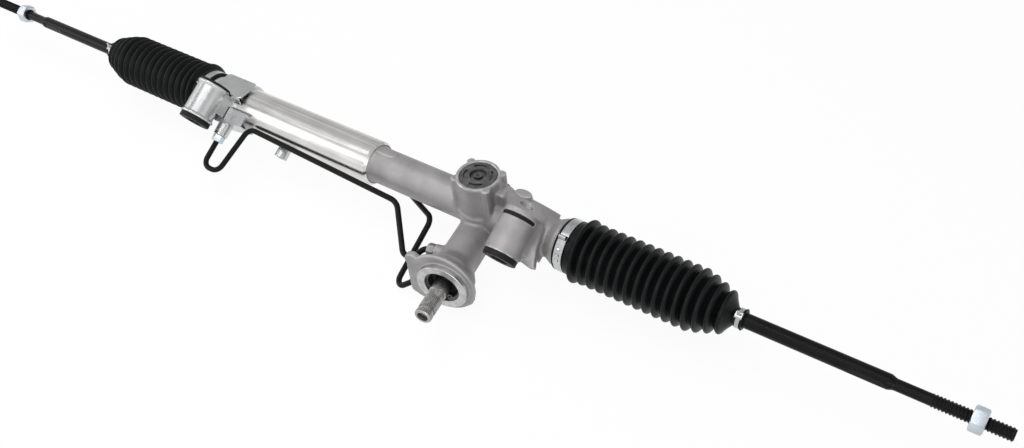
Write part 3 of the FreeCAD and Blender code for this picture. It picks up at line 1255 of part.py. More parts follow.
def tie_rod(name, side):
    """Ball, shank with wrench flats, waist and the plain stand-in for its thread."""
    thread_start = "(rod_reach - thread_length)"
    nut_end = f"({name}_nut + nut_thick)"
    forged = turned(name + "_rod_turned", "rack", from_ball(side, [
        ("0", "0"),
        ("0", "rod_neck / 2"),
        ("ball_dia", "rod_neck / 2"),
        ("ball_dia + 4", "rod_dia / 2"),
        ("waist_start - 1", "rod_dia / 2"),
        ("waist_start + 1", "waist_dia / 2"),
        (f"{thread_start} - 1", "waist_dia / 2"),
        (thread_start, "thread_core / 2"),
        (f"{nut_end} + 0.5", "thread_core / 2"),
        (f"{nut_end} + 0.5", f"{name}_thread / 2"),
        ("rod_reach - 1.2", f"{name}_thread / 2"),
        ("rod_reach", f"{name}_thread / 2 - 1.2"),
        ("rod_reach", "0"),
    ]))
    flats = []
    for face, sign in (("front", ""), ("back", "-")):
        near, far = f"{sign}flats_width / 2", f"{sign}rod_dia"
        flats.append(slab(f"{name}_rod_flat_{face}", "rack", "XY_Plane", [
            (outward(side, "ball_half + flats_start"), near),
            (outward(side, "ball_half + flats_start"), far),
            (outward(side, "ball_half + flats_start + flats_length"), far),
            (outward(side, "ball_half + flats_start + flats_length"), near),
        ], "2 * rod_dia", ("0", "0", "-rod_dia")))
    rough = joined(name + "_rod_rough", [ball(name + "_rod_ball", side, "ball_dia / 2"), forged])
    return less(name + "_rod_cut", rough, flats)


def jam_nut(name, side):
    """Hexagon nut with both ends chamfered; its bore is at the thread's pitch diameter."""
    near = f"({outward(side, f'ball_half + {name}_nut')})"
    far = f"({near} + {side} * nut_thick)"
    corner = "nut_flats / 2 / cos(30)"
    start, end = (near, far) if side > 0 else (far, near)
    blank = slab(name + "_nut_blank", "rack", "YZ_Plane", hexagon("nut_flats"), "nut_thick",
                 (start, "0", "0"))
    trim = turned(name + "_nut_trim", "rack", [
        (start, "0"),
        (start, f"{corner} - 1.2"),
        (f"{start} + 1.4", f"{corner} + 0.5"),
        (f"{end} - 1.4", f"{corner} + 0.5"),
        (end, f"{corner} - 1.2"),
        (end, "0"),
    ])
    bore = rod(name + "_nut_bore", "rack", f"{start} - 1", f"{end} + 1", "thread_core / 2 + running_gap")
    return less(name + "_nut_cut", kept(name + "_nut_trimmed", blank, trim), [bore])


def tie_rods():
    """Per side: the seat in the ball housing, the tie rod with its ball, and the jam nut."""
    for name, side in SIDES:
        node(ball_seat(name, side), name + "_ball_seat")
        node(tie_rod(name, side), name + "_tie_rod")
        node(jam_nut(name, side), name + "_jam_nut")


def spot(frame, x, y, z):
    """A point of a local frame, seen from the crossing of the rack axis and the yoke axis."""
    if frame == "pinion":
        tilt = math.radians(size("pinion_tilt"))
        along = Vector(math.sin(tilt), -math.cos(tilt), 0)
        across = Vector(math.cos(tilt), math.sin(tilt), 0)
        return along * x + across * y + Vector(0, 0, z - size("pinion_drop"))
    tilt = math.radians(size("mount_tilt"))
    towards_bush = Vector(0, -math.sin(tilt), math.cos(tilt))
    down_bolt = Vector(0, -math.cos(tilt), -math.sin(tilt))
    return Vector(x, 0, 0) + towards_bush * y + down_bolt * z


def bent_pipe(name, corners):
    """A pipe along straight runs that are joined by tangent arcs; each inner corner gives its bend radius."""
    points = [point for point, bend in corners]
    edges = []
    start = points[0]
    for before, (corner, bend), after in zip(points, corners[1:], points[2:]):
        back = (before - corner).normalize()
        ahead = (after - corner).normalize()
        half_turn = (math.pi - back.getAngle(ahead)) / 2
        tangent = bend * math.tan(half_turn)
        entry = corner + back * tangent
        leave = corner + ahead * tangent
        inward = (back + ahead).normalize()
        middle = corner + inward * (bend / math.cos(half_turn) - bend)
        edges.append(Part.LineSegment(start, entry).toShape())
        edges.append(Part.Arc(entry, middle, leave).toShape())
        start = leave
    edges.append(Part.LineSegment(start, points[-1]).toShape())
    path = Part.Wire(edges)
    radius = size("pipe_dia") / 2
    section = Part.Face(Part.Wire([Part.makeCircle(radius, points[0], points[1] - points[0])]))
    pipe = path.makePipe(section)
    straight = math.pi * radius**2 * path.Length
    print(name, "length", round(path.Length, 1), "volume of a straight one x", round(pipe.Volume / straight, 4))
    return shaped(name, pipe, "rack")


def feed_pipes():
    """The two pipes between the valve and the ends of the cylinder, with their union nuts."""
    tight = 1.7 * size("pipe_dia")
    wide = 3 * size("pipe_dia")
    level = size("pipe_level")
    port = -size("port_x")
    node(bent_pipe("long_pipe_run", [
        (spot("mount", port, level, size("port_seat") - 2), 0),
        (spot("mount", port, level, 82), tight),
        (spot("mount", port + 23, level, 82), tight),
        (spot("mount", port + 31.5, level, 23.5), tight),
        (spot("mount", -84, 13, 31), wide),
        (spot("pinion", 74, -54, -8), tight),
        (spot("pinion", size("long_port"), -38, size("long_port_up")), tight),
        (spot("pinion", size("long_port"), 1 - size("pipe_face"), size("long_port_up")), 0),
    ]), "long_feed_pipe")
    rear = -size("rear_port")
    back = size("rear_port_back")
    face = size("rear_port_face")
    node(bent_pipe("short_pipe_run", [
        (Vector(rear, back, 2 - face), 0),
        (Vector(rear, back, -face - 8), 0.8 * tight),
        (spot("mount", -49, -5, 29.5), 1.2 * tight),
        (spot("pinion", 85, -66, -40), 0.8 * tight),
        (spot("pinion", 80, -44, -25), tight),
        (spot("pinion", size("short_port"), -38, -size("short_port_down")), 0.8 * tight),
        (spot("pinion", size("short_port"), 1 - size("pipe_face"), -size("short_port_down")), 0),
    ]), "short_feed_pipe")
    nuts = []
    for name, station, up in PIPE_PORTS:
        start = "-pipe_face - union_thick"
        blank = slab(name + "_nut", "pinion", "XZ_Plane", hexagon("union_flats"), "union_thick",
                     (station, start, up))
        hole = rod(name + "_nut_hole", "pinion", f"{start} - 1", "1 - pipe_face", "pipe_dia / 2", "y",
                   (station, "0", up))
        nuts.append(less(name + "_nut_cut", blank, [hole]))
    at = ("-port_x", "pipe_level", "port_seat")
    blank = slab("port_nut", "mount", "XY_Plane", hexagon("union_flats"), "union_thick", at)
    hole = rod("port_nut_hole", "mount", "-1", "union_thick + 1", "pipe_dia / 2", "z", at)
    nuts.append(less("port_nut_cut", blank, [hole]))
    node(joined("union_nuts", nuts), "pipe_unions")


rack_housing()
cylinder()
tube_fittings()
left_bracket()
mount_bushes()
yoke_parts()
tower_parts()
rack_parts()
pinion_parts()
input_parts()
bellows_parts()
tie_rods()
feed_pipes()
doc.recompute()

broken = [item.Name for item in doc.Objects if "Invalid" in item.State or "Error" in item.State]
for item in nodes:
    if item.Shape.isNull() or not item.Shape.isValid() or item.Shape.Volume <= 0:
        broken.append(item.Label)
if broken:
    raise RuntimeError("pieces that did not build: " + ", ".join(broken))

os.makedirs("parts", exist_ok=True)
for item in nodes:
    item.Shape.exportStep(f"parts/{item.Label}.step")
print(len(nodes), "nodes, mass volume", round(sum(item.Shape.Volume for item in nodes)))
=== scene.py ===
import math

import bmesh
import bpy
import numpy as np
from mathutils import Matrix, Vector


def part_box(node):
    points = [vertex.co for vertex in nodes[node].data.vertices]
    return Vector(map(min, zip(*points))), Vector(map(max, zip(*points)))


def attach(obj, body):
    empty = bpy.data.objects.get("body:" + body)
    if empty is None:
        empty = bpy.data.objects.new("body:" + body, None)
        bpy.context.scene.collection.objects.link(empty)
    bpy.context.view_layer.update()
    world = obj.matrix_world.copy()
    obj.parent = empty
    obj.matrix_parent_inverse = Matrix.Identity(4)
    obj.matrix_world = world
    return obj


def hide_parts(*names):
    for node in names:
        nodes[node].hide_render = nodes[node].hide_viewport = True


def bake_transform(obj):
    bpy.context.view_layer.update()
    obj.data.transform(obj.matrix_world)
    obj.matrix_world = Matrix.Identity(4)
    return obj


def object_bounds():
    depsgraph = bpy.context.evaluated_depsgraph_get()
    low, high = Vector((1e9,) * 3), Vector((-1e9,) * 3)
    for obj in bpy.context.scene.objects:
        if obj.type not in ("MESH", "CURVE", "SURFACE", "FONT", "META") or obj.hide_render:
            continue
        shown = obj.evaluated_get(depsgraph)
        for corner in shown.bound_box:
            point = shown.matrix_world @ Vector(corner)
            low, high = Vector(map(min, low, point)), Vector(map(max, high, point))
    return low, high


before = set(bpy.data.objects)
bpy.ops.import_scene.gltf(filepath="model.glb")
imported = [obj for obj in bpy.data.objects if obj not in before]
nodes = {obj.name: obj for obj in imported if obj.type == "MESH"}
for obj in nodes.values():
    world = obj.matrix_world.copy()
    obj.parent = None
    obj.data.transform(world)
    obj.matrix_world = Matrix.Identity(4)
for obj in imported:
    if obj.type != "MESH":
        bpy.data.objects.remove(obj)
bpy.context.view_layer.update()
print("frame loaded:", len(nodes), "nodes")

mm = 0.001
alongRack = Vector((1, 0, 0))
upwards = Vector((0, 0, 1))

# The lines that the pieces are laid out from, read off the CAD nodes.
tubeLow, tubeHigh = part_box("cylinder_tube")
rackLine = (tubeLow + tubeHigh) / 2                     # a point on the rack axis, which runs along X
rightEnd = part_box("right_bellows")[1].x
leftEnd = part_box("left_bellows")[0].x
rackMiddle = (rightEnd + leftEnd) / 2                   # middle of the centred rack
plugLow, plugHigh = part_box("yoke_plug")
yokeLine = Vector(((plugLow.x + plugHigh.x) / 2, rackLine.y, rackLine.z))

pinionTilt = math.radians(9.5)
pinionDrop = 18.5                                       # mm: the pinion passes this far under the rack axis
pinionAxis = Vector((math.sin(pinionTilt), -math.cos(pinionTilt), 0))
pinionAcross = Vector((math.cos(pinionTilt), math.sin(pinionTilt), 0))      # square to the pinion, towards +X
pinionLine = yokeLine - upwards * pinionDrop * mm
boltTilt = math.radians(28)
boltAxis = Vector((0, -math.cos(boltTilt), -math.sin(boltTilt)))    # along the mount bolts, downwards
bushSide = Vector((0, -math.sin(boltTilt), math.cos(boltTilt)))     # from the rack axis towards the bushes
ballStation = 351                                       # mm from the middle of the rack to each ball joint


# Camera at the photograph's own angle, in an image 1024 wide and 448 high.
cameraView = {
    "place": (0.4309, -0.5390, 0.7087), "angles": (44.7194, 4.3471, 34.0793),      # metres, degrees
    "lens": 36.91, "sensor": 36.0, "nearest": 0.02,
}

cameraData = bpy.data.cameras.new("camera")
cameraData.lens = cameraView["lens"]
cameraData.sensor_width = cameraView["sensor"]
cameraData.clip_start = cameraView["nearest"]
camera = bpy.data.objects.new("camera", cameraData)
camera.location = cameraView["place"]
camera.rotation_euler = [math.radians(angle) for angle in cameraView["angles"]]
bpy.context.scene.collection.objects.link(camera)
bpy.context.scene.camera = camera
print("camera placed")


def onRack(station):
    # the point on the rack axis so many mm from the middle of the rack
    return Vector((rackMiddle + station * mm, rackLine.y, rackLine.z))


def eased(share):
    # 0 to 1 with a soft start and a soft end
    return share * share * (3 - 2 * share)


def hexColour(code):
    # sRGB hex to the linear values that the nodes take
    channels = [int(code[i:i + 2], 16) / 255 for i in (1, 3, 5)]
    return [c / 12.92 if c <= 0.04045 else ((c + 0.055) / 1.055) ** 2.4 for c in channels] + [1.0]


def addNode(tree, kind, inputs=(), links=(), **settings):
    # one node with its settings, plain input values and incoming links, by input name or number
    made = tree.nodes.new(kind)
    for name, value in settings.items():
        setattr(made, name, value)
    for name, value in dict(inputs).items():
        made.inputs[name].default_value = value
    for name, source in dict(links).items():
        tree.links.new(source, made.inputs[name])
    return made


def emptyMaterial(name):
    material = bpy.data.materials.new(name)
    material.use_nodes = True
    material.node_tree.nodes.clear()
    return material, material.node_tree


def newMaterial(name, values):
    # a material with its Principled shader, whose constants sit on the shader's own sockets
    material, tree = emptyMaterial(name)
    shader = addNode(tree, "ShaderNodeBsdfPrincipled", values)
    addNode(tree, "ShaderNodeOutputMaterial", links={"Surface": shader.outputs[0]})
    place = addNode(tree, "ShaderNodeTexCoord").outputs["Object"]
    return material, tree, shader, place


def addNoise(tree, place, size, detail, roughness=0.5):
    # a noise whose pattern repeats about every so many mm
    return addNode(tree, "ShaderNodeTexNoise", {"Scale": 1 / (size * mm), "Detail": detail, "Roughness": roughness},
                   {"Vector": place}).outputs["Fac"]


def addWeighed(tree, first, weight, second):
    # first times its weight, plus second
    return addNode(tree, "ShaderNodeMath", {1: weight}, {0: first, 2: second}, operation="MULTIPLY_ADD").outputs[0]


def addTone(tree, source, dark, light, stops):
    # a value turned into a colour between two hex codes
    node = addNode(tree, "ShaderNodeValToRGB", links={"Fac": source})
    for element, stop, code in zip(node.color_ramp.elements, stops, (dark, light)):
        element.position = stop
        element.color = hexColour(code)
    return node.outputs[0]


def linkRough(tree, shader, source, limits):
    rough = addNode(tree, "ShaderNodeMapRange", {"To Min": limits[0], "To Max": limits[1]}, {"Value": source})
    tree.links.new(rough.outputs[0], shader.inputs["Roughness"])


def linkBump(tree, shader, height, strength, depth):
    # bumps of so many mm
    bump = addNode(tree, "ShaderNodeBump", {"Strength": strength, "Distance": depth * mm}, {"Height": height})
    tree.links.new(bump.outputs[0], shader.inputs["Normal"])
    return bump


# Sand cast aluminium, shot blasted: a matte grey skin with a fine grain, a little brighter on its edges.
castLook = {
    "dark": "#8c8a8a", "light": "#a3a1a1", "stops": (0.3, 0.7), "edge": "#c2c1c1",
    "grain": 0.7, "cloud": 26.0, "pit": 1.54,       # mm: blasted grain (real 0.3, drawn coarser), tone clouds, pits
    "roughness": (0.46, 0.58), "metallic": 0.6, "bump": 0.3, "depth": 0.12, "pitWeight": 0.4,
    "soft": 0.6, "pointed": (0.505, 0.56), "edgeShare": 0.55,       # rounded edges in mm, and how far they lighten
}


def castAluminium():
    look = castLook
    material, tree, shader, place = newMaterial("sandCastAluminium", {"Metallic": look["metallic"]})
    clouds = addNoise(tree, place, look["cloud"], 4.0, 0.6)
    grain = addNoise(tree, place, look["grain"], 2.0)
    pits = addNode(tree, "ShaderNodeTexVoronoi", {"Scale": 1 / (look["pit"] * mm)}, {"Vector": place})
    tone = addTone(tree, clouds, look["dark"], look["light"], look["stops"])
    worn = addNode(tree, "ShaderNodeNewGeometry")
    low, high = look["pointed"]
    edge = addNode(tree, "ShaderNodeMapRange", {"From Min": low, "From Max": high, "To Max": look["edgeShare"]},
                   {"Value": worn.outputs["Pointiness"]})
    colour = addNode(tree, "ShaderNodeMix", {7: hexColour(look["edge"])}, {0: edge.outputs[0], 6: tone},
                     data_type="RGBA")
    tree.links.new(colour.outputs[2], shader.inputs["Base Color"])
    linkRough(tree, shader, grain, look["roughness"])
    bump = linkBump(tree, shader, addWeighed(tree, pits.outputs["Distance"], look["pitWeight"], grain), look["bump"],
                    look["depth"])
    rounded = addNode(tree, "ShaderNodeBevel", {"Radius": look["soft"] * mm}, samples=4)
    tree.links.new(rounded.outputs[0], bump.inputs["Normal"])
    return material


# Cold drawn steel tube: satin, with soft streaks that follow the drawing direction.
tubeLook = {
    "dark": "#bcbbb9", "light": "#e4e3e1", "stops": (0.45, 0.95),
    "streak": (160.0, 2.2), "stain": 35.0, "stainWeight": 0.45,     # mm: streaks along and across, stains
    "roughness": (0.20, 0.30), "bump": 0.10, "depth": 0.05, "spread": 0.45,
}


def drawnSteel():
    look = tubeLook
    material, tree, shader, place = newMaterial("drawnSteel", {"Metallic": 1.0, "Anisotropic": look["spread"]})
    along, across = (1 / (size * mm) for size in look["streak"])
    stretched = addNode(tree, "ShaderNodeMapping", {"Scale": (along, across, across)}, {"Vector": place})
    streaks = addNode(tree, "ShaderNodeTexNoise", {"Scale": 1.0, "Detail": 5.0, "Roughness": 0.55},
                      {"Vector": stretched.outputs[0]}).outputs["Fac"]
    stains = addNoise(tree, place, look["stain"], 2.0)
    tone = addTone(tree, addWeighed(tree, stains, look["stainWeight"], streaks), look["dark"], look["light"],
                   look["stops"])
    tree.links.new(tone, shader.inputs["Base Color"])
    linkRough(tree, shader, streaks, look["roughness"])
    linkBump(tree, shader, streaks, look["bump"], look["depth"])
    return material


# Bright zinc plate over pressed steel: pale, smooth and slightly cloudy, with a cool cast in places.
zincLook = {
    "cool": "#bcbfc1", "warm": "#c9c9c8", "stops": (0.35, 0.65),
    "cloud": 14.0, "orange": 2.4,           # mm: tone clouds, surface waves
    "roughness": (0.24, 0.32), "bump": 0.05, "depth": 0.05,
}


def brightZinc(name, cool, warm, roughness):
    look = zincLook
    material, tree, shader, place = newMaterial(name, {"Metallic": 1.0})
    clouds = addNoise(tree, place, look["cloud"], 5.0, 0.65)
    waves = addNoise(tree, place, look["orange"], 3.0)
    tree.links.new(addTone(tree, clouds, cool, warm, look["stops"]), shader.inputs["Base Color"])
    linkRough(tree, shader, clouds, roughness)
    linkBump(tree, shader, waves, look["bump"], look["depth"])
    return material


# Turned metal: fine rings from the cutting tool round one axis, so light spreads across them.
turnedLook = {
    "feed": 0.55, "cloud": 6.0, "markWeight": 0.5, "stops": (0.5, 1.0),     # mm: tool marks (real 0.1, drawn coarser)
    "roughness": (0.22, 0.4), "bump": 0.3, "depth": 0.04,
}


def turnedMetal(name, dark, light, point, axis, metallic=1.0, roughness=turnedLook["roughness"]):
    look = turnedLook
    material, tree, shader, place = newMaterial(name, {"Metallic": metallic})
    centred = addNode(tree, "ShaderNodeVectorMath", {1: point}, {0: place}, operation="SUBTRACT").outputs[0]
    station = addNode(tree, "ShaderNodeVectorMath", {1: axis}, {0: centred}, operation="DOT_PRODUCT").outputs["Value"]
    onAxis = addNode(tree, "ShaderNodeVectorMath", {0: axis}, {"Scale": station}, operation="SCALE").outputs[0]
    radial = addNode(tree, "ShaderNodeVectorMath", links={0: centred, 1: onAxis}, operation="DISTANCE")
    cut = addNode(tree, "ShaderNodeMath", links={0: radial.outputs["Value"], 1: station}, operation="ADD")
    marks = addNode(tree, "ShaderNodeTexNoise", {"Scale": 1 / (look["feed"] * mm), "Detail": 3.0},
                    {"W": cut.outputs[0]}, noise_dimensions="1D").outputs["Fac"]
    clouds = addNoise(tree, place, look["cloud"], 3.0)
    tone = addTone(tree, addWeighed(tree, marks, look["markWeight"], clouds), dark, light, look["stops"])
    tree.links.new(tone, shader.inputs["Base Color"])
    linkRough(tree, shader, marks, roughness)
    linkBump(tree, shader, marks, look["bump"], look["depth"])
    return material


# Black electrophoretic coat on steel: satin, close to the metal, with a faint orange peel.
coatLook = {
    "dark": "#09090a", "light": "#101012", "stops": (0.35, 0.7), "peel": 1.3, "cloud": 14.0,       # mm
    "roughness": (0.28, 0.40), "bump": 0.2, "depth": 0.05, "ior": 1.5, "shine": 0.13,
}


def blackCoat(name, light):
    look = coatLook
    material, tree, shader, place = newMaterial(name, {"IOR": look["ior"], "Specular IOR Level": look["shine"]})
    peel = addNoise(tree, place, look["peel"], 2.0)
    clouds = addNoise(tree, place, look["cloud"], 4.0)
    tree.links.new(addTone(tree, clouds, look["dark"], light, look["stops"]), shader.inputs["Base Color"])
    linkRough(tree, shader, clouds, look["roughness"])
    linkBump(tree, shader, peel, look["bump"], look["depth"])
    return material


# Moulded EPDM rubber: near black and matte with a soft sheen, a faint bloom of dust in the tone.
rubberLook = {
    "dark": "#060708", "light": "#0b0d0e", "stops": (0.35, 0.7), "bloom": 18.0, "grain": 0.8,      # mm
    "roughness": (0.34, 0.46), "bump": 0.2, "depth": 0.04, "ior": 1.52, "shine": 0.15,
}


def mouldedRubber(name, dark, light, roughness):
    look = rubberLook
    material, tree, shader, place = newMaterial(name, {"IOR": look["ior"], "Specular IOR Level": look["shine"]})
    bloom = addNoise(tree, place, look["bloom"], 5.0, 0.6)
    grain = addNoise(tree, place, look["grain"], 2.0)
    tree.links.new(addTone(tree, bloom, dark, light, look["stops"]), shader.inputs["Base Color"])
    linkRough(tree, shader, bloom, roughness)
    linkBump(tree, shader, grain, look["bump"], look["depth"])
    return material


# Machined acetal and PTFE: milky, smooth, with a little light passing into the edge.
plasticLook = {
    "dark": "#d9d4c4", "light": "#ece8dc", "stops": (0.35, 0.7), "cloud": 5.0, "roughness": (0.32, 0.45),
    "ior": 1.48, "milky": 0.1, "milkDepth": 0.5,        # share and depth in mm of the light that passes in
}


def bearingPlastic(name, dark, light):
    look = plasticLook
    material, tree, shader, place = newMaterial(name, {
        "IOR": look["ior"], "Subsurface Weight": look["milky"], "Subsurface Scale": look["milkDepth"] * mm})
    clouds = addNoise(tree, place, look["cloud"], 3.0)
    tree.links.new(addTone(tree, clouds, dark, light, look["stops"]), shader.inputs["Base Color"])
    linkRough(tree, shader, clouds, look["roughness"])
    return material


castSkin = castAluminium()
tubeSteel = drawnSteel()
zincPlate = brightZinc("brightZincPlate", zincLook["cool"], zincLook["warm"], zincLook["roughness"])
zincNut = brightZinc("blueZincNut", "#b3bcc6", "#d2d8de", (0.28, 0.40))
# zinc for the nuts at the valve: the rougher finish is real, the darker colour is painted shade
dullNutPaintedShade = brightZinc("dullZincNutPaintedShade", "#77787a", "#929394", (0.42, 0.54))
springBand = brightZinc("stainlessBand", "#a9abad", "#c6c7c8", (0.2, 0.34))
machinedAlloy = turnedMetal("machinedAluminium", "#a6a6a6", "#cdcdcd", pinionLine, pinionAxis)
facedAlloy = turnedMetal("facedAluminium", "#a5a5a5", "#cfcfcf", yokeLine, upwards)
boltFace = turnedMetal("boltFacedAluminium", "#a0a0a0", "#c6c6c6", Vector(), boltAxis)
plugSteel = turnedMetal("phosphatedPlug", "#4c4c4c", "#6e6e6e", yokeLine, upwards, 0.85, (0.36, 0.5))
rackSteel = turnedMetal("groundRackSteel", "#aeaeae", "#d6d6d6", rackLine, alongRack, 1.0, (0.14, 0.26))
shaftSteel = turnedMetal("turnedShaftSteel", "#8f8e8d", "#bab9b8", pinionLine, pinionAxis)
springSteel = turnedMetal("oiledSpringSteel", "#4a4a4c", "#77777a", yokeLine, upwards, 1.0, (0.3, 0.42))
rodCoat = blackCoat("blackCoatedRod", coatLook["light"])
pipeCoat = blackCoat("blackCoatedPipe", coatLook["light"])
boltCoat = blackCoat("blackOxide", "#303136")
bootRubber = mouldedRubber("mouldedBellowsRubber", rubberLook["dark"], rubberLook["light"], rubberLook["roughness"])
bushRubber = mouldedRubber("mouldedBushRubber", "#131314", "#232425", (0.5, 0.66))
sealRubber = mouldedRubber("nitrileSeal", "#151516", "#26272a", (0.34, 0.48))
acetal = bearingPlastic("mouldedAcetal", plasticLook["dark"], plasticLook["light"])
bronzeLiner = bearingPlastic("bronzeFilledLiner", "#8d6f45", "#a98a5c")
print("materials made")


# Which finish each CAD node wears.
nodeFinish = {
    "cylinder_tube": tubeSteel, "bulkhead": machinedAlloy, "bulkhead_o_ring": sealRubber, "snap_ring": springSteel,
    "left_rack_seal": sealRubber, "right_rack_seal": sealRubber, "rack_guide_bush": bronzeLiner,
    "end_port_block": zincPlate, "tube_stud": zincPlate, "mount_bracket": zincPlate,
    "right_mount_bush": bushRubber, "left_mount_bush": bushRubber,
    "right_bush_sleeve": zincNut, "left_bush_sleeve": zincNut,
    "rack_yoke": facedAlloy, "yoke_liner": acetal, "yoke_spring": springSteel, "yoke_plug": plugSteel,
    "lower_bearing_outer": shaftSteel, "lower_bearing_inner": shaftSteel, "lower_cap": boltCoat,
    "upper_bearing": shaftSteel, "input_seal": sealRubber, "retaining_ring": springSteel,
    "long_feed_pipe": pipeCoat, "short_feed_pipe": pipeCoat,
    "rack_bar": rackSteel, "piston": facedAlloy, "piston_ring": acetal,
    "right_ball_housing": shaftSteel, "left_ball_housing": shaftSteel,
    "pinion_shaft": shaftSteel, "valve_sleeve": shaftSteel, "sleeve_rings": acetal, "pinion_nut": boltCoat,
    "input_shaft": shaftSteel, "torsion_bar": springSteel, "cross_pin": shaftSteel,
    "right_ball_seat": acetal, "left_ball_seat": acetal,
}
for nodeName, finish in nodeFinish.items():
    meshSlots = nodes[nodeName].data.materials
    meshSlots.clear()
    meshSlots.append(finish)
print("CAD nodes dressed:", len(nodeFinish))


def makePiece(name, points, faces, material, body, slotName, crease=32):
    # a mesh piece in place, smooth except at edges sharper than the crease angle, riding on its body
    mesh = bpy.data.meshes.new(name)
    mesh.from_pydata([tuple(p) for p in points], [], [tuple(f) for f in faces])
    mesh.validate()
    mesh.materials.append(material)
    mesh.polygons.foreach_set("use_smooth", [True] * len(mesh.polygons))
    mesh.set_sharp_from_angle(angle=math.radians(crease))
    piece = bpy.data.objects.new(name, mesh)
    bpy.context.scene.collection.objects.link(piece)
    if body:
        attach(piece, body)
    return piece


def faceOutwards(piece):
    # turns the faces of a closed piece outwards
    mended = bmesh.new()
    mended.from_mesh(piece.data)
    bmesh.ops.recalc_face_normals(mended, faces=mended.faces)
    mended.to_mesh(piece.data)
    mended.free()


def softenEdges(piece, name, width, segments):
    bevel = piece.modifiers.new(name, "BEVEL")
    bevel.width = width * mm
    bevel.segments = segments
    bevel.limit_method = "ANGLE"


def sideOf(axis):
    # two directions square to an axis
    axis = Vector(axis).normalized()
    first = axis.cross(upwards)
    if first.length < 0.1:                          # the axis stands upright
        first = axis.cross(Vector((0, 1, 0)))
    first.normalize()
    return first, axis.cross(first)


def roundGrid(rows, point, axis, ringCount, closed=False):
    # points and faces of a body round an axis, from rows of station and radius in mm; a radius is one value, or one
    # per angle, and a closed body joins its last row to its first
    axis = np.array(Vector(axis).normalized())
    first, second = (np.array(v) for v in sideOf(axis))
    angles = np.linspace(0, 2 * math.pi, ringCount, endpoint=False)
    stations = np.array([station for station, radius in rows], float) * mm
    radii = np.array([np.broadcast_to(radius, ringCount) for station, radius in rows], float) * mm
    around = np.cos(angles)[:, None] * first + np.sin(angles)[:, None] * second
    grid = np.array(point) + stations[:, None, None] * axis + radii[:, :, None] * around[None]
    count = len(rows)
    faces = []
    for row in range(count if closed else count - 1):
        nextRow = (row + 1) % count
        for step in range(ringCount):
            turn = (step + 1) % ringCount
            faces.append((row * ringCount + step, row * ringCount + turn,
                          nextRow * ringCount + turn, nextRow * ringCount + step))
    if not closed:
        faces.append(range(ringCount)[::-1])
        faces.append(range((count - 1) * ringCount, count * ringCount))
    return grid.reshape(-1, 3).tolist(), faces


def turnedPiece(name, profile, point, axis, material, body, slotName, ringCount, crease=32):
    # a closed ring whose profile holds station and radius in mm, listed round the section
    points, faces = roundGrid(profile, point, axis, ringCount, True)
    piece = makePiece(name, points, faces, material, None, slotName, crease)
    faceOutwards(piece)
    piece.data.set_sharp_from_angle(angle=math.radians(crease))
    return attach(piece, body)


def sidedPiece(name, rows, side, point, axis, ringCount, closed, material, body, slotName, crease):
    # a round body whose stations run along the axis on the right side (1), and against it on the left side (-1)
    points, faces = roundGrid([(side * station, radius) for station, radius in rows], point, axis, ringCount, closed)
    if side > 0:
        faces = [face[::-1] for face in faces]
    return makePiece(name, points, faces, material, body, slotName, crease)


def joinGroups(groups):
    points, faces = [], []
    for groupPoints, groupFaces in groups:
        offset = len(points)
        points += [tuple(p) for p in groupPoints]
        faces += [tuple(index + offset for index in face) for face in groupFaces]
    return points, faces


def slabAlong(corners, centre, xAxis, yAxis, zAxis, start, end):
    # a plate with the outline corners in the x-y plane, from start to end along z, all in mm
    count = len(corners)
    points = [centre + (xAxis * x + yAxis * y + zAxis * z) * mm for z in (start, end) for x, y in corners]
    faces = [tuple(range(count))[::-1], tuple(range(count, 2 * count))]
    faces += [(i, (i + 1) % count, count + (i + 1) % count, count + i) for i in range(count)]
    return points, faces


# The casting: the CAD solid with its inner corners filled and its edges softened, as sand leaves them.
castShape = {
    "voxel": 0.85 * mm,
    "soft": (4, 0.5), "fill": (16, 0.9), "last": (3, 0.4),      # passes, and the share that each one moves
    # bores that keep their size: point, axis, from, to and radius, in mm along the axis
    "bores": [
        (rackLine, alongRack, -400, 400, 15.4),
        (pinionLine, pinionAxis, -60, 85, 16.2),
        (pinionLine, pinionAxis, 80, 100, 28.5),
        (yokeLine, upwards, 6, 60, 20.4),
        (Vector(), boltAxis, -40, 40, 16.6),
    ],
    "boreFade": 2.0,            # mm outside a bore over which the softening sets in
}


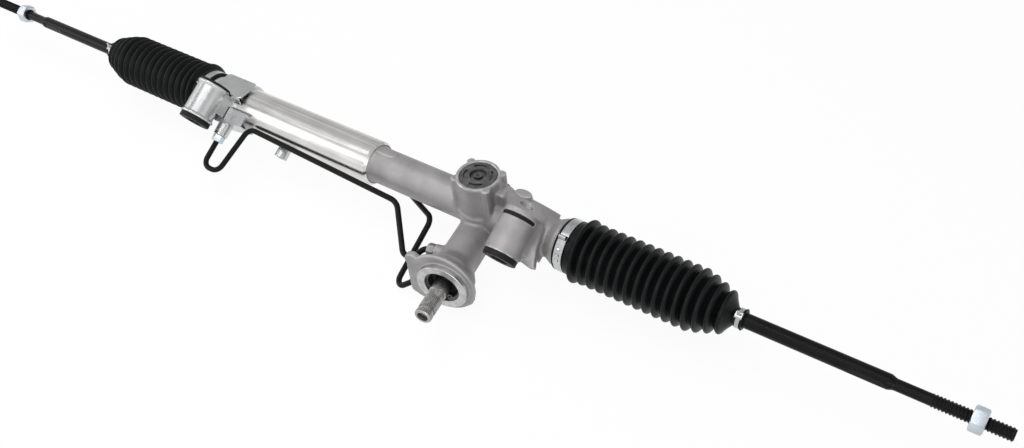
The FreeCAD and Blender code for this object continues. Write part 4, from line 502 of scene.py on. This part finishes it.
def softCasting():
    look = castShape
    casting = bpy.data.objects.new("castHousing", nodes["rack_housing"].data.copy())
    bpy.context.scene.collection.objects.link(casting)
    remesh = casting.modifiers.new("grain", "REMESH")
    remesh.mode = "VOXEL"
    remesh.voxel_size = look["voxel"]
    remesh.use_smooth_shade = True
    mesh = bpy.data.meshes.new_from_object(casting.evaluated_get(bpy.context.evaluated_depsgraph_get()))
    casting.modifiers.clear()
    casting.data = mesh
    count = len(mesh.vertices)
    places = np.empty(count * 3)
    mesh.vertices.foreach_get("co", places)
    places = places.reshape(-1, 3)
    edges = np.empty(len(mesh.edges) * 2, int)
    mesh.edges.foreach_get("vertices", edges)
    edges = edges.reshape(-1, 2)
    quads = np.array([polygon.vertices[:] for polygon in mesh.polygons if len(polygon.vertices) == 4])
    degree = np.maximum(np.bincount(edges.ravel(), minlength=count), 1).astype(float)
    free = np.ones(count)                           # 0 in a bore, 1 where the skin may move
    for point, axis, start, end, radius in look["bores"]:
        axis = np.array(axis.normalized())
        offset = places - np.array(point)
        station = offset @ axis
        reach = np.linalg.norm(offset - station[:, None] * axis, axis=1)
        inside = (station > start * mm) & (station < end * mm)
        share = np.clip((reach - radius * mm) / (look["boreFade"] * mm), 0, 1)
        free = np.where(inside, np.minimum(free, share), free)

    def neighbours(values):
        total = np.zeros_like(values)
        for axisNumber in range(3):
            total[:, axisNumber] = (np.bincount(edges[:, 0], values[edges[:, 1], axisNumber], count)
                                    + np.bincount(edges[:, 1], values[edges[:, 0], axisNumber], count))
        return total / degree[:, None]

    def normals(values):
        cross = np.cross(values[quads[:, 2]] - values[quads[:, 0]], values[quads[:, 3]] - values[quads[:, 1]])
        total = np.zeros_like(values)
        for corner in range(4):
            for axisNumber in range(3):
                total[:, axisNumber] += np.bincount(quads[:, corner], cross[:, axisNumber], count)
        length = np.linalg.norm(total, axis=1)
        length[length == 0] = 1
        return total / length[:, None]

    passes, share = look["soft"]                    # all edges, a little
    for number in range(passes):
        places += (neighbours(places) - places) * (share * free)[:, None]
    passes, share = look["fill"]                    # only inner corners, like the fillets of a pattern
    for number in range(passes):
        away = normals(places)
        pull = ((neighbours(places) - places) * away).sum(1)
        places += away * (np.maximum(pull, 0) * share * free)[:, None]
    passes, share = look["last"]
    for number in range(passes):
        places += (neighbours(places) - places) * (share * free)[:, None]
    mesh.vertices.foreach_set("co", places.ravel())
    mesh.materials.clear()
    mesh.materials.append(castSkin)
    mesh.polygons.foreach_set("use_smooth", [True] * len(mesh.polygons))
    mesh.update()
    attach(casting, "housing")
    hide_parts("rack_housing")
    return casting


castHousing = softCasting()
print("casting softened:", len(castHousing.data.vertices), "points")


# Faces that are machined after casting: thin bright skins over the casting, in mm along each axis.
portFace = [(24.2, 9.3), (25.4, 9.3), (25.62, 9.0), (25.62, 7.6), (24.9, 6.95), (20, 6.95), (20, 7.3)]
machinedFaces = {
    "pinionRing": (pinionLine, pinionAxis, machinedAlloy, [
        (88, 26.55), (95.2, 26.55), (95.68, 26.1), (95.68, 19.1), (95.1, 18.45), (84, 18.45), (84, 18.9), (88, 25.9)]),
    "towerRim": (yokeLine, upwards, facedAlloy, [
        (43.2, 22.2), (44.7, 22.2), (45.12, 21.8), (45.12, 19.5), (44.6, 18.97), (42.5, 18.97), (42.5, 19.4)]),
    "bossFace": (Vector(), boltAxis, boltFace, [
        (18.6, 17.9), (20.0, 17.9), (20.12, 17.7), (20.12, 15.9), (19.8, 15.52), (17, 15.52), (17, 15.9)]),
    "pressurePortFace": (pinionLine + pinionAxis * 45 * mm, -upwards, boltFace, portFace),
    "returnPortFace": (pinionLine + pinionAxis * 65 * mm, -upwards, boltFace, portFace),
}
for faceName, (point, axis, finish, profile) in machinedFaces.items():
    turnedPiece(faceName, profile, point, axis, finish, "housing", "cast_alloy", 96)
print("machined faces laid on")


# Raised cast pads, each a low closed shell over the casting, in mm.
tonguePad = {
    "start": -133.4, "end": -108.0, "side": 4.0, "halfWidth": 7.4, "height": 1.5, "barrel": 19.4, "edge": 2.2,
    "margin": 2.0, "sink": 0.35, "depth": 1.2, "rows": 40, "lanes": 28,
}
deckPad = {
    "place": (46.0, 9.0), "radii": (9.5, 5.5), "low": 24.0, "top": 35.2, "edge": 1.6, "foot": 1.5,
    "turns": (0.2, 1, 6), "crown": (0.05, 0.45),        # rows of the soft edge; rise and share of the flat middle
    "ringCount": 56,
}


def castTongue():
    # a tongue with a round end on the barrel, beside the tube
    look = tonguePad
    rows, lanes = look["rows"], look["lanes"]
    centre = math.asin(look["side"] / look["barrel"])
    top, under = [], []
    for row in range(rows):
        x = look["start"] + (look["end"] + look["margin"] - look["start"]) * row / (rows - 1)
        for lane in range(lanes):
            across = (lane / (lanes - 1) - 0.5) * 2 * (look["halfWidth"] + look["margin"])
            beyond = max(0.0, x - (look["end"] - look["halfWidth"]))
            inside = look["halfWidth"] - math.hypot(across, beyond)
            raised = look["height"] * eased(min(1.0, max(0.0, inside / look["edge"]))) - look["sink"]
            angle = centre + across / look["barrel"]
            for shell, radius in ((top, look["barrel"] + raised), (under, look["barrel"] - look["depth"])):
                shell.append(yokeLine + Vector((x, radius * math.sin(angle), radius * math.cos(angle))) * mm)
    count = rows * lanes
    faces = []
    for row in range(rows - 1):
        for lane in range(lanes - 1):
            a = row * lanes + lane
            faces.append((a, a + lanes, a + lanes + 1, a + 1))
            faces.append((count + a, count + a + 1, count + a + lanes + 1, count + a + lanes))
    rim = [row * lanes for row in range(rows)] + [(rows - 1) * lanes + lane for lane in range(1, lanes)]
    rim += [row * lanes + lanes - 1 for row in range(rows - 2, -1, -1)] + list(range(lanes - 2, 0, -1))
    for a, b in zip(rim, rim[1:] + rim[:1]):
        faces.append((a, count + a, count + b, b))
    faceOutwards(makePiece("castTongue", top + under, faces, castSkin, "housing", "cast_alloy", 50))


def castDeckPad():
    # an oval pad on the deck behind the mount boss, with a soft upper edge
    look = deckPad
    edge = look["edge"]
    long, short = look["radii"]
    angles = np.linspace(0, 2 * math.pi, look["ringCount"], endpoint=False)
    oval = long * short / np.sqrt((short * np.cos(angles)) ** 2 + (long * np.sin(angles)) ** 2)
    rows = [(look["low"], oval + look["foot"]), (look["top"] - edge, oval)]
    for turn in np.linspace(*look["turns"]) * math.pi / 2:
        rows.append((look["top"] - edge * (1 - math.sin(turn)), oval - edge * (1 - math.cos(turn))))
    rise, share = look["crown"]
    rows.append((look["top"] + rise, oval * share))
    point = yokeLine + Vector((*look["place"], 0)) * mm
    points, faces = roundGrid(rows, point, upwards, look["ringCount"])
    faceOutwards(makePiece("castDeckPad", points, faces, castSkin, "housing", "cast_alloy", 50))


castTongue()
castDeckPad()
print("cast pads raised")


# Rubber bellows with sixteen crests, a cuff and a neck, in mm from the middle of the rack.
bellowsShape = {
    "start": 234.5, "end": 421.5, "cuffRadius": 26.0, "firstCrest": 256.5, "pitch": 9.8, "crestRadius": 30.6,
    "firstRadius": 32.2, "rootRadius": 25.2, "coneRadii": (28.2, 24.8, 21.2), "fullCount": 13,
    "roundness": 0.72, "stepsPerFold": 14, "ringCount": 112,
    # the cuff, from the start and the cuff's radius on
    "cuff": ((0, -0.9), (0.5, 0.1), (1.4, 0.5), (2.2, 0.2), (2.8, 0), (12.2, 0), (12.9, 0.5), (14.0, 0.8)),
    # the folds begin and end at these shares of a fold, where 0 is the crest and 0.5 a valley
    "foldLimits": (-0.38, 0.25),
    # the last cone runs down to the neck in one soft curve; the lip is measured from the end and the neck's radius
    "neckRadius": 8.8, "neckLength": 9.0, "coneSteps": 8, "coneBend": 0.85,
    "lip": ((-7.5, 0), (-2.2, 0), (-1.9, 0.9), (-1.2, 1.5), (-0.5, 1.3), (0, 0.6)),
    # the liner inside: stations and radii
    "liner": ((234.5, 250.0, 252.5, 374.1, 405.5, 412.5, 421.5), (24.05, 24.05, 23.6, 23.6, 14.2, 7.4, 7.4)),
    # parts, cut in a valley and on a crest: name, from, to, bend from and bend to
    "parts": (("", 234.5, 369.2, 250.5, 368.7), ("Elbow", 369.2, 383.9, 369.7, 383.4),
              ("Neck", 383.9, 421.5, 384.4, 411.0)),
}


def bellowsOutline():
    look = bellowsShape
    full, pitch, steps, neck = look["crestRadius"], look["pitch"], look["stepsPerFold"], look["neckRadius"]
    crests = [look["firstRadius"]] + [full] * (look["fullCount"] - 1) + list(look["coneRadii"])
    last = len(crests) - 1
    foldStart, foldEnd = look["foldLimits"]
    outline = [(look["start"] + along, look["cuffRadius"] + rise) for along, rise in look["cuff"]]
    for number, crest in enumerate(crests):
        for step in range(steps + 1):
            share = step / steps - 0.5                      # -0.5 and 0.5 are the valleys beside this crest
            if (number == 0 and share < foldStart) or (number == last and share > foldEnd) \
                    or (number < last and step == steps):
                continue
            beside = crests[min(last, number + 1) if share > 0 else max(0, number - 1)]
            valley = look["rootRadius"] - (full - min(crest, full)) * 0.5 - (full - min(beside, full)) * 0.5
            height = (0.5 + 0.5 * math.cos(2 * math.pi * share)) ** look["roundness"]
            outline.append((look["firstCrest"] + pitch * number + pitch * share, valley + (crest - valley) * height))
    neckStart = look["end"] - look["neckLength"]
    station, radius = outline[-1]
    for step in range(1, look["coneSteps"] + 1):
        share = step / look["coneSteps"]
        outline.append((station + (neckStart - station) * share, radius + (neck - radius) * share ** look["coneBend"]))
    return outline + [(look["end"] + along, neck + rise) for along, rise in look["lip"]]


def bellows(name, side):
    look = bellowsShape
    outline = bellowsOutline()
    liner = look["liner"]
    for number, (partName, low, high, bendStart, bendEnd) in enumerate(look["parts"]):
        slack = 0.01                                # a station on a cut belongs to both of its parts
        rows = [(station, radius) for station, radius in outline if low - slack <= station <= high + slack]
        inside = [station for station in liner[0] if low < station < high]
        rows += [(station, float(np.interp(station, *liner))) for station in [high] + inside[::-1] + [low]]
        piece = sidedPiece(name + "Boot" + partName, rows, side, onRack(0), alongRack, look["ringCount"], True,
                           bootRubber, None, "soft_rubber", 50)
        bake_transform(piece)
        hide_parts(name + "_bellows")


for label, side in (("right", 1), ("left", -1)):
    bellows(label, side)
print("bellows moulded")


# Tie rods: ball, shank, wrench flats, waist and a rolled thread; stations in mm from the ball.
rodShape = {
    "ball": 12.5, "ballSteps": 14, "neck": 5.3, "neckStart": 1.2, "shoulder": (25, 26, 28.5, 29.5), "round": 0.15,
    "shank": 7.0, "shankRows": (60, 110, 160), "flats": 6.0, "flatsStart": 168.0, "flatsLength": 26.0,
    "flatsFade": (5, 4), "flatsRows": 40, "waist": 5.3, "waistStart": 202.0, "waistFade": 3, "waistRows": 8,
    "reach": 300.0, "threadLength": 66.0,
    "thread": 6.0, "threadPitch": 3.0,       # the real pitch is 1.75; drawn coarser so that it shows
    "threadDepth": 0.95, "tooth": (0.12, 0.72), "rowsPerTurn": 9, "runOut": 3, "pointed": 1.3, "ringCount": 48,
}


def tieRod(name, side, body):
    look = rodShape
    ball, neck, shank, waist = look["ball"], look["neck"], look["shank"], look["waist"]
    ringCount = look["ringCount"]
    angles = np.linspace(0, 2 * math.pi, ringCount, endpoint=False)
    front = np.linspace(math.pi - 0.02, math.pi / 2, look["ballSteps"])
    back = np.linspace(math.pi / 2, math.asin(neck / ball), look["ballSteps"])[1:]
    rows = [(ball * math.cos(a), ball * math.sin(a)) for a in np.concatenate([front, back])]
    rows.append((math.sqrt(ball ** 2 - neck ** 2) + look["neckStart"], neck))
    rows += zip(look["shoulder"], (neck, neck + look["round"], shank - look["round"], shank))
    rows += [(station, shank) for station in look["shankRows"]]
    fadeIn, fadeOut = look["flatsFade"]
    flatsStart, flatsEnd = look["flatsStart"] - fadeIn, look["flatsStart"] + look["flatsLength"] + fadeOut
    for station in np.linspace(flatsStart, flatsEnd, look["flatsRows"]):
        share = np.clip(min((station - flatsStart) / fadeIn, (flatsEnd - station) / fadeOut), 0, 1)
        depth = shank + (look["flats"] - shank) * eased(share)
        rows.append((station, np.minimum(shank, depth / np.maximum(np.abs(np.cos(angles)), 1e-6))))
    for share in np.linspace(0, 1, look["waistRows"]):
        rows.append((look["waistStart"] + look["waistFade"] * (2 * share - 1), shank + (waist - shank) * eased(share)))
    threadStart = look["reach"] - look["threadLength"] - 1
    rows.append((threadStart - 2, waist))
    bottom, slope = look["tooth"]
    for station in np.arange(threadStart, look["reach"] + 0.01, look["threadPitch"] / look["rowsPerTurn"]):
        turn = (station / look["threadPitch"] - angles / (2 * math.pi)) % 1
        tooth = np.clip((np.abs(2 * turn - 1) - bottom) / slope, 0, 1)
        fade = np.clip((station - threadStart) / look["runOut"], 0, 1)
        radius = waist + (look["thread"] - look["threadDepth"] * tooth - waist) * fade
        rows.append((station, np.minimum(radius, look["thread"] - look["pointed"] + look["reach"] - station)))
    return sidedPiece(name, rows, side, onRack(side * ballStation), alongRack, ringCount, False, rodCoat, body,
                      "black_steel", 40)


# Nuts: a hexagon with both ends chamfered and a countersunk hole, in mm.
nutShape = {"flats": 20.0, "thick": 12.0, "hole": 6.1, "chamfer": 1.3, "sink": 0.9, "ringCount": 96}
unionShape = {"flats": 12.0, "thick": 8.0, "hole": 3.05, "chamfer": 0.9, "sink": 0.5, "ringCount": 72}
nutEnds = {"face": 0.95, "inset": 0.25, "cornerRoom": 0.3, "rows": 7}       # the end face as a share of the flats


def hexNut(name, start, side, body, look, material, slotName, point, axis):
    angles = np.linspace(0, 2 * math.pi, look["ringCount"], endpoint=False)
    sector = (angles + math.pi / 6) % (math.pi / 3) - math.pi / 6
    half, thick, hole, sink = look["flats"] / 2, look["thick"], look["hole"], look["sink"]
    hexagon = half / np.cos(sector)
    face = half * nutEnds["face"]
    corner = half / math.cos(math.pi / 6) + nutEnds["cornerRoom"]
    rows = []
    for share in np.linspace(0, 1, nutEnds["rows"]):
        cone = face + (corner - face) * share
        rows.append((look["chamfer"] * share, np.minimum(hexagon - nutEnds["inset"] * (1 - share), cone)))
    farEnd = [(thick - station, radius) for station, radius in rows[::-1]]
    rows += [(thick / 2, hexagon)] + farEnd
    rows += [(thick, hole + sink), (thick - sink, hole), (sink, hole), (0, hole + sink)]
    return sidedPiece(name, [(start + station, radius) for station, radius in rows], side, point, axis,
                      look["ringCount"], True, material, body, slotName, 24)


for label, side in (("right", 1), ("left", -1)):
    rod = tieRod(label + "Rod", side, label + "_rod")
    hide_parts(label + "_tie_rod")
    low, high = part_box(label + "_jam_nut")
    ballPlace = onRack(side * ballStation)
    near = (low.x if side > 0 else high.x) - ballPlace.x
    nut = hexNut(label + "Nut", side * near / mm, side, label + "_rod", nutShape, zincNut, "zinc_steel",
                 ballPlace, alongRack)
    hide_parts(label + "_jam_nut")
print("tie rods and jam nuts made")


# Union nuts on the feed pipes: the outer one is bright; the two at the valve are duller, and their darker colour is
# painted shade. Stations are in mm.
studLow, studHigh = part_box("tube_stud")
outerUnion = {"fromStud": -76, "towardsBush": 16, "alongBolt": 44}
valveUnions = {"longUnion": (56, 26.5, 2), "shortUnion": (67, 26.5, -8)}    # along the pinion, beside it, over it
unionPlaces = {         # a point on the seat, the way the nut points, finish
    "outerUnion": (Vector(((studLow.x + studHigh.x) / 2 + outerUnion["fromStud"] * mm, rackLine.y, rackLine.z))
                   + bushSide * outerUnion["towardsBush"] * mm + boltAxis * outerUnion["alongBolt"] * mm,
                   boltAxis, zincNut),
}
for unionName, (along, beside, over) in valveUnions.items():
    unionPlaces[unionName] = (pinionLine + (pinionAxis * along - pinionAcross * beside + upwards * over) * mm,
                              -pinionAcross, dullNutPaintedShade)
for unionName, (seat, way, finish) in unionPlaces.items():
    nut = hexNut(unionName, 0.0, 1, "housing", unionShape, finish, "zinc_steel", seat, way)
    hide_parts("pipe_unions")
print("union nuts made")


# Left bracket: rolled rims on the eye and the flat plate with its bent tab on the saddle, in mm from the yoke.
bracketLook = {
    "eye": (-347.0, 42.0), "rimRadius": 17.3, "rimRound": 1.5, "rimSteps": 14, "rims": (1.4, 38.6),
    "plate": ((-360, 11), (-357, 14), (-319, 14), (-316, 11), (-316, -12), (-319, -15), (-333, -15), (-357, -10),
              (-360, -7)),
    "plateLevels": (26.2, 28.4), "tab": ((-328, -14.2), (-317, -14.2), (-316, -16.4), (-329, -16.4)),
    "tabLevels": (19.5, 28.0), "softEdge": 0.8,
}


def dressBracket():
    look = bracketLook
    station, offset = look["eye"]
    eye = yokeLine + alongRack * station * mm + bushSide * offset * mm
    for rimName, level in zip(("eyeRimTop", "eyeRimBottom"), look["rims"]):
        profile = [(level + look["rimRound"] * math.sin(a), look["rimRadius"] + look["rimRound"] * math.cos(a))
                   for a in np.linspace(0, 2 * math.pi, look["rimSteps"], endpoint=False)]
        turnedPiece(rimName, profile, eye, boltAxis, zincPlate, "housing", "zinc_steel", 80)
    across = Vector((0, 1, 0))
    plate = slabAlong(look["plate"], yokeLine, alongRack, across, upwards, *look["plateLevels"])
    tab = slabAlong(look["tab"], yokeLine, alongRack, across, upwards, *look["tabLevels"])
    piece = makePiece("saddlePlate", *joinGroups([plate, tab]), zincPlate, None, "zinc_steel", 30)
    faceOutwards(piece)
    softenEdges(piece, "pressedEdge", look["softEdge"], 3)
    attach(piece, "housing")


dressBracket()
print("left bracket dressed")


# Large clamps: stainless ear clamp with an overlapping tail, three windows and a crimped ear; angles in degrees
# from the bush side, turning towards the front. Small clamps: a narrow band with a lock and a bent tail. All in mm.
largeClamp = {
    "station": 242.0, "radius": 26.0, "width": 8.6, "thick": 0.7, "steps": 145,
    "tail": (6, 62), "tailGap": 0.05, "tailSteps": 57, "windows": ((24, 29), (36, 41), (48, 53)),
    "hook": ((-1.1, 0), (-1.1, 1.2), (0.2, 1.9), (1.0, 1.6), (1.0, 0)), "hookHalf": 1.3,
    "ear": (-4, 6), "earHeight": 4.2, "earInset": 0.6, "earSteps": 15, "pinch": 0.6, "softEdge": 0.16,
}
smallClamp = {
    "station": 417.0, "radius": 9.05, "width": 4.0, "thick": 0.6, "steps": 97, "sunk": 0.6,
    "lock": ((-2.8, 0.2), (-3.2, 1.4), (-2.6, 2.6), (2.2, 2.9), (3.4, 2.2), (3.0, 0.2)), "lockHalf": 3.5,
    "tail": ((-0.4, 2.0), (-1.2, 5.0), (-2.8, 7.6), (-2.1, 8.1), (-0.2, 5.4), (0.8, 2.0)), "tailHalf": 1.7,
    "softEdge": 0.25,
}


def aroundBand(angle):
    # the way out of the rack axis at an angle in radians, and the way on round it
    first, second = bushSide, alongRack.cross(bushSide)
    return first * math.cos(angle) + second * math.sin(angle), second * math.cos(angle) - first * math.sin(angle)


def bandStrip(radius, width, thick, startAngle, endAngle, centre, steps, holes=()):
    # a strip round the rack between two angles in degrees, with windows left open at the given angle ranges
    angles = np.linspace(startAngle, endAngle, steps)
    middles = (angles[:-1] + angles[1:]) / 2
    isOpen = [any(low < middle < high for low, high in holes) for middle in middles] + [False]
    windowHalf = width * 0.22                   # a window is 44 % as wide as the strip
    points = []
    for angle in angles:
        out = aroundBand(math.radians(angle))[0]
        for level in (radius, radius + thick):
            for offset in (-width / 2, -windowHalf, windowHalf, width / 2):
                points.append(centre + out * level * mm + alongRack * offset * mm)
    faces = []
    for step in range(steps - 1):
        a, b = step * 8, (step + 1) * 8
        for lane in range(3):
            if lane == 1 and isOpen[step]:
                continue
            faces.append((a + lane, a + lane + 1, b + lane + 1, b + lane))
            faces.append((a + 4 + lane, b + 4 + lane, b + 5 + lane, a + 5 + lane))
        faces.append((a, b, b + 4, a + 4))
        faces.append((a + 3, a + 7, b + 7, b + 3))
        if isOpen[step] != isOpen[step + 1]:
            faces.append((b + 1, b + 2, b + 6, b + 5))
        if isOpen[step]:
            faces.append((a + 1, a + 5, b + 5, b + 1))
            faces.append((a + 2, b + 2, b + 6, a + 6))
    last = (steps - 1) * 8
    for lane in range(3):
        faces.append((lane, 4 + lane, 5 + lane, lane + 1))
        faces.append((last + lane, last + lane + 1, last + 5 + lane, last + 4 + lane))
    return points, faces


def clampEar(centre):
    # the crimped ear stands up as a pinched loop
    look = largeClamp
    low, high = look["ear"]
    half = look["width"] / 2 - look["earInset"]
    points, faces = [], []
    for share in np.linspace(0, 1, look["earSteps"]):
        out = aroundBand(math.radians(low + (high - low) * share))[0]
        level = look["radius"] + look["thick"] + look["earHeight"] * math.sin(math.pi * share) ** look["pinch"]
        for thick in (0, look["thick"]):
            for offset in (-half, half):
                points.append(centre + out * (level + thick) * mm + alongRack * offset * mm)
    for step in range(look["earSteps"] - 1):
        a, b = step * 4, (step + 1) * 4
        faces += [(a, a + 1, b + 1, b), (a + 2, b + 2, b + 3, a + 3), (a, b, b + 2, a + 2),
                  (a + 1, a + 3, b + 3, b + 1)]
    return points, faces


def largeBand(name, side):
    look = largeClamp
    centre = onRack(side * look["station"])
    outer = look["radius"] + look["thick"]
    groups = [
        bandStrip(look["radius"], look["width"], look["thick"], 0, 360, centre, look["steps"]),
        bandStrip(outer + look["tailGap"], look["width"], look["thick"], *look["tail"], centre, look["tailSteps"],
                  look["windows"]),
    ]
    for window in look["windows"]:                  # hooks that reach through the windows
        out, onward = aroundBand(math.radians(sum(window) / 2))
        groups.append(slabAlong(look["hook"], centre + out * outer * mm, onward, out, alongRack, -look["hookHalf"],
                                look["hookHalf"]))
    groups.append(clampEar(centre))
    piece = makePiece(name, *joinGroups(groups), springBand, None, "zinc_steel", 30)
    softenEdges(piece, "rolledEdge", look["softEdge"], 2)
    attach(piece, "housing")
    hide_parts(name.replace("LargeBand", "_large_clamp"))


def smallBand(name, side, body):
    look = smallClamp
    centre = onRack(side * look["station"])
    out, onward = aroundBand(0)
    foot = centre + out * (look["radius"] + look["thick"] - look["sunk"]) * mm
    groups = [bandStrip(look["radius"], look["width"], look["thick"], 0, 360, centre, look["steps"])]
    for outline, half in ((look["lock"], look["lockHalf"]), (look["tail"], look["tailHalf"])):
        groups.append(slabAlong(outline, foot, onward, out, alongRack, -half, half))
    piece = makePiece(name, *joinGroups(groups), springBand, None, "zinc_steel", 30)
    softenEdges(piece, "rolledEdge", look["softEdge"], 2)
    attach(piece, body)
    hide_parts(name.replace("SmallBand", "_small_clamp"))


for label, side in (("right", 1), ("left", -1)):
    largeBand(label + "LargeBand", side)
    smallBand(label + "SmallBand", side, label + "_rod")
print("clamps closed")


# Floor and light: a white floor and background for camera, glossy and transmission rays, soft lamps at a plain level.
stageLook = {
    "floorDrop": 4 * mm, "floorSize": 30, "floorShade": 0.06, "paper": "#f4f4f4",
    "sky": "#f6f7f9", "skyStrength": 0.42,
    "lamps": {      # place, target, size, watts
        "top": ((-0.35, -0.25, 1.5), (-0.15, 0.0, 0.0), (1.6, 0.9), 17.0),
        "front": ((0.9, -1.3, 0.7), (0.0, 0.0, 0.0), (1.2, 0.8), 6.0),
        "left": ((-1.5, -0.7, 0.6), (-0.2, 0.0, 0.0), (0.9, 0.7), 4.0),
    },
    "cards": {      # place, target, size, shade: grey cards that only reflections see, behind and over the part
        "backCard": ((-0.2, 1.2, 0.55), (-0.2, 0.0, 0.25), (4.4, 1.5), "#cdcdce"),
        "topCard": ((-0.2, 0.45, 1.25), (-0.2, 0.0, 0.0), (4.4, 1.5), "#cecece"),
        "frontCard": ((-0.2, -0.62, 1.38), (-0.2, 0.0, 0.0), (4.4, 0.35), "#9a9a9b"),
    },
}


def aimAt(thing, place, target):
    thing.location = place
    thing.rotation_euler = (Vector(target) - Vector(place)).to_track_quat("-Z", "Y").to_euler()


def whiteFor(tree, shader, share):
    # camera, glossy and transmission rays see plain white; the share left over keeps the object's shadow
    rays = addNode(tree, "ShaderNodeLightPath")
    seen = rays.outputs["Is Camera Ray"]
    for ray in ("Is Glossy Ray", "Is Transmission Ray"):
        seen = addNode(tree, "ShaderNodeMath", links={0: seen, 1: rays.outputs[ray]}, operation="MAXIMUM").outputs[0]
    part = addNode(tree, "ShaderNodeMath", {1: share}, {0: seen}, operation="MULTIPLY")
    white = addNode(tree, "ShaderNodeEmission", {"Color": (1, 1, 1, 1), "Strength": 1.0})
    return addNode(tree, "ShaderNodeMixShader", links={0: part.outputs[0], 1: shader.outputs[0], 2: white.outputs[0]})


def layFloor():
    look = stageLook
    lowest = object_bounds()[0].z
    bpy.ops.mesh.primitive_plane_add(size=look["floorSize"], location=(0, 0, lowest - look["floorDrop"]))
    floor = bpy.context.object
    floor.name = "studioFloor"
    material, tree = emptyMaterial("whitePaper")
    paper = addNode(tree, "ShaderNodeBsdfDiffuse", {"Color": hexColour(look["paper"])})
    mixed = whiteFor(tree, paper, 1 - look["floorShade"])
    addNode(tree, "ShaderNodeOutputMaterial", links={"Surface": mixed.outputs[0]})
    floor.data.materials.append(material)


def hangCards():
    for name, (place, target, extent, shade) in stageLook["cards"].items():
        bpy.ops.mesh.primitive_plane_add(size=1, location=place)
        card = bpy.context.object
        card.name = name
        card.scale = (*extent, 1)
        aimAt(card, place, target)
        for ray in ("camera", "diffuse", "shadow", "transmission", "volume_scatter"):
            setattr(card, "visible_" + ray, False)
        material, tree = emptyMaterial(name)
        glow = addNode(tree, "ShaderNodeEmission", {"Color": hexColour(shade), "Strength": 1.0})
        addNode(tree, "ShaderNodeOutputMaterial", links={"Surface": glow.outputs[0]})
        card.data.materials.append(material)


def lightStudio():
    look = stageLook
    world = bpy.data.worlds.new("studio")
    bpy.context.scene.world = world
    world.use_nodes = True
    tree = world.node_tree
    tree.nodes.clear()
    sky = addNode(tree, "ShaderNodeBackground", {"Color": hexColour(look["sky"]), "Strength": look["skyStrength"]})
    mixed = whiteFor(tree, sky, 1.0)
    addNode(tree, "ShaderNodeOutputWorld", links={"Surface": mixed.outputs[0]})
    for name, (place, target, extent, power) in look["lamps"].items():
        data = bpy.data.lights.new(name, "AREA")
        data.shape = "RECTANGLE"
        data.size, data.size_y = extent
        data.energy = power
        lamp = bpy.data.objects.new(name, data)
        aimAt(lamp, place, target)
        bpy.context.scene.collection.objects.link(lamp)
    bpy.context.scene.view_settings.view_transform = "Standard"


layFloor()
hangCards()
lightStudio()
print("floor and lamps set")
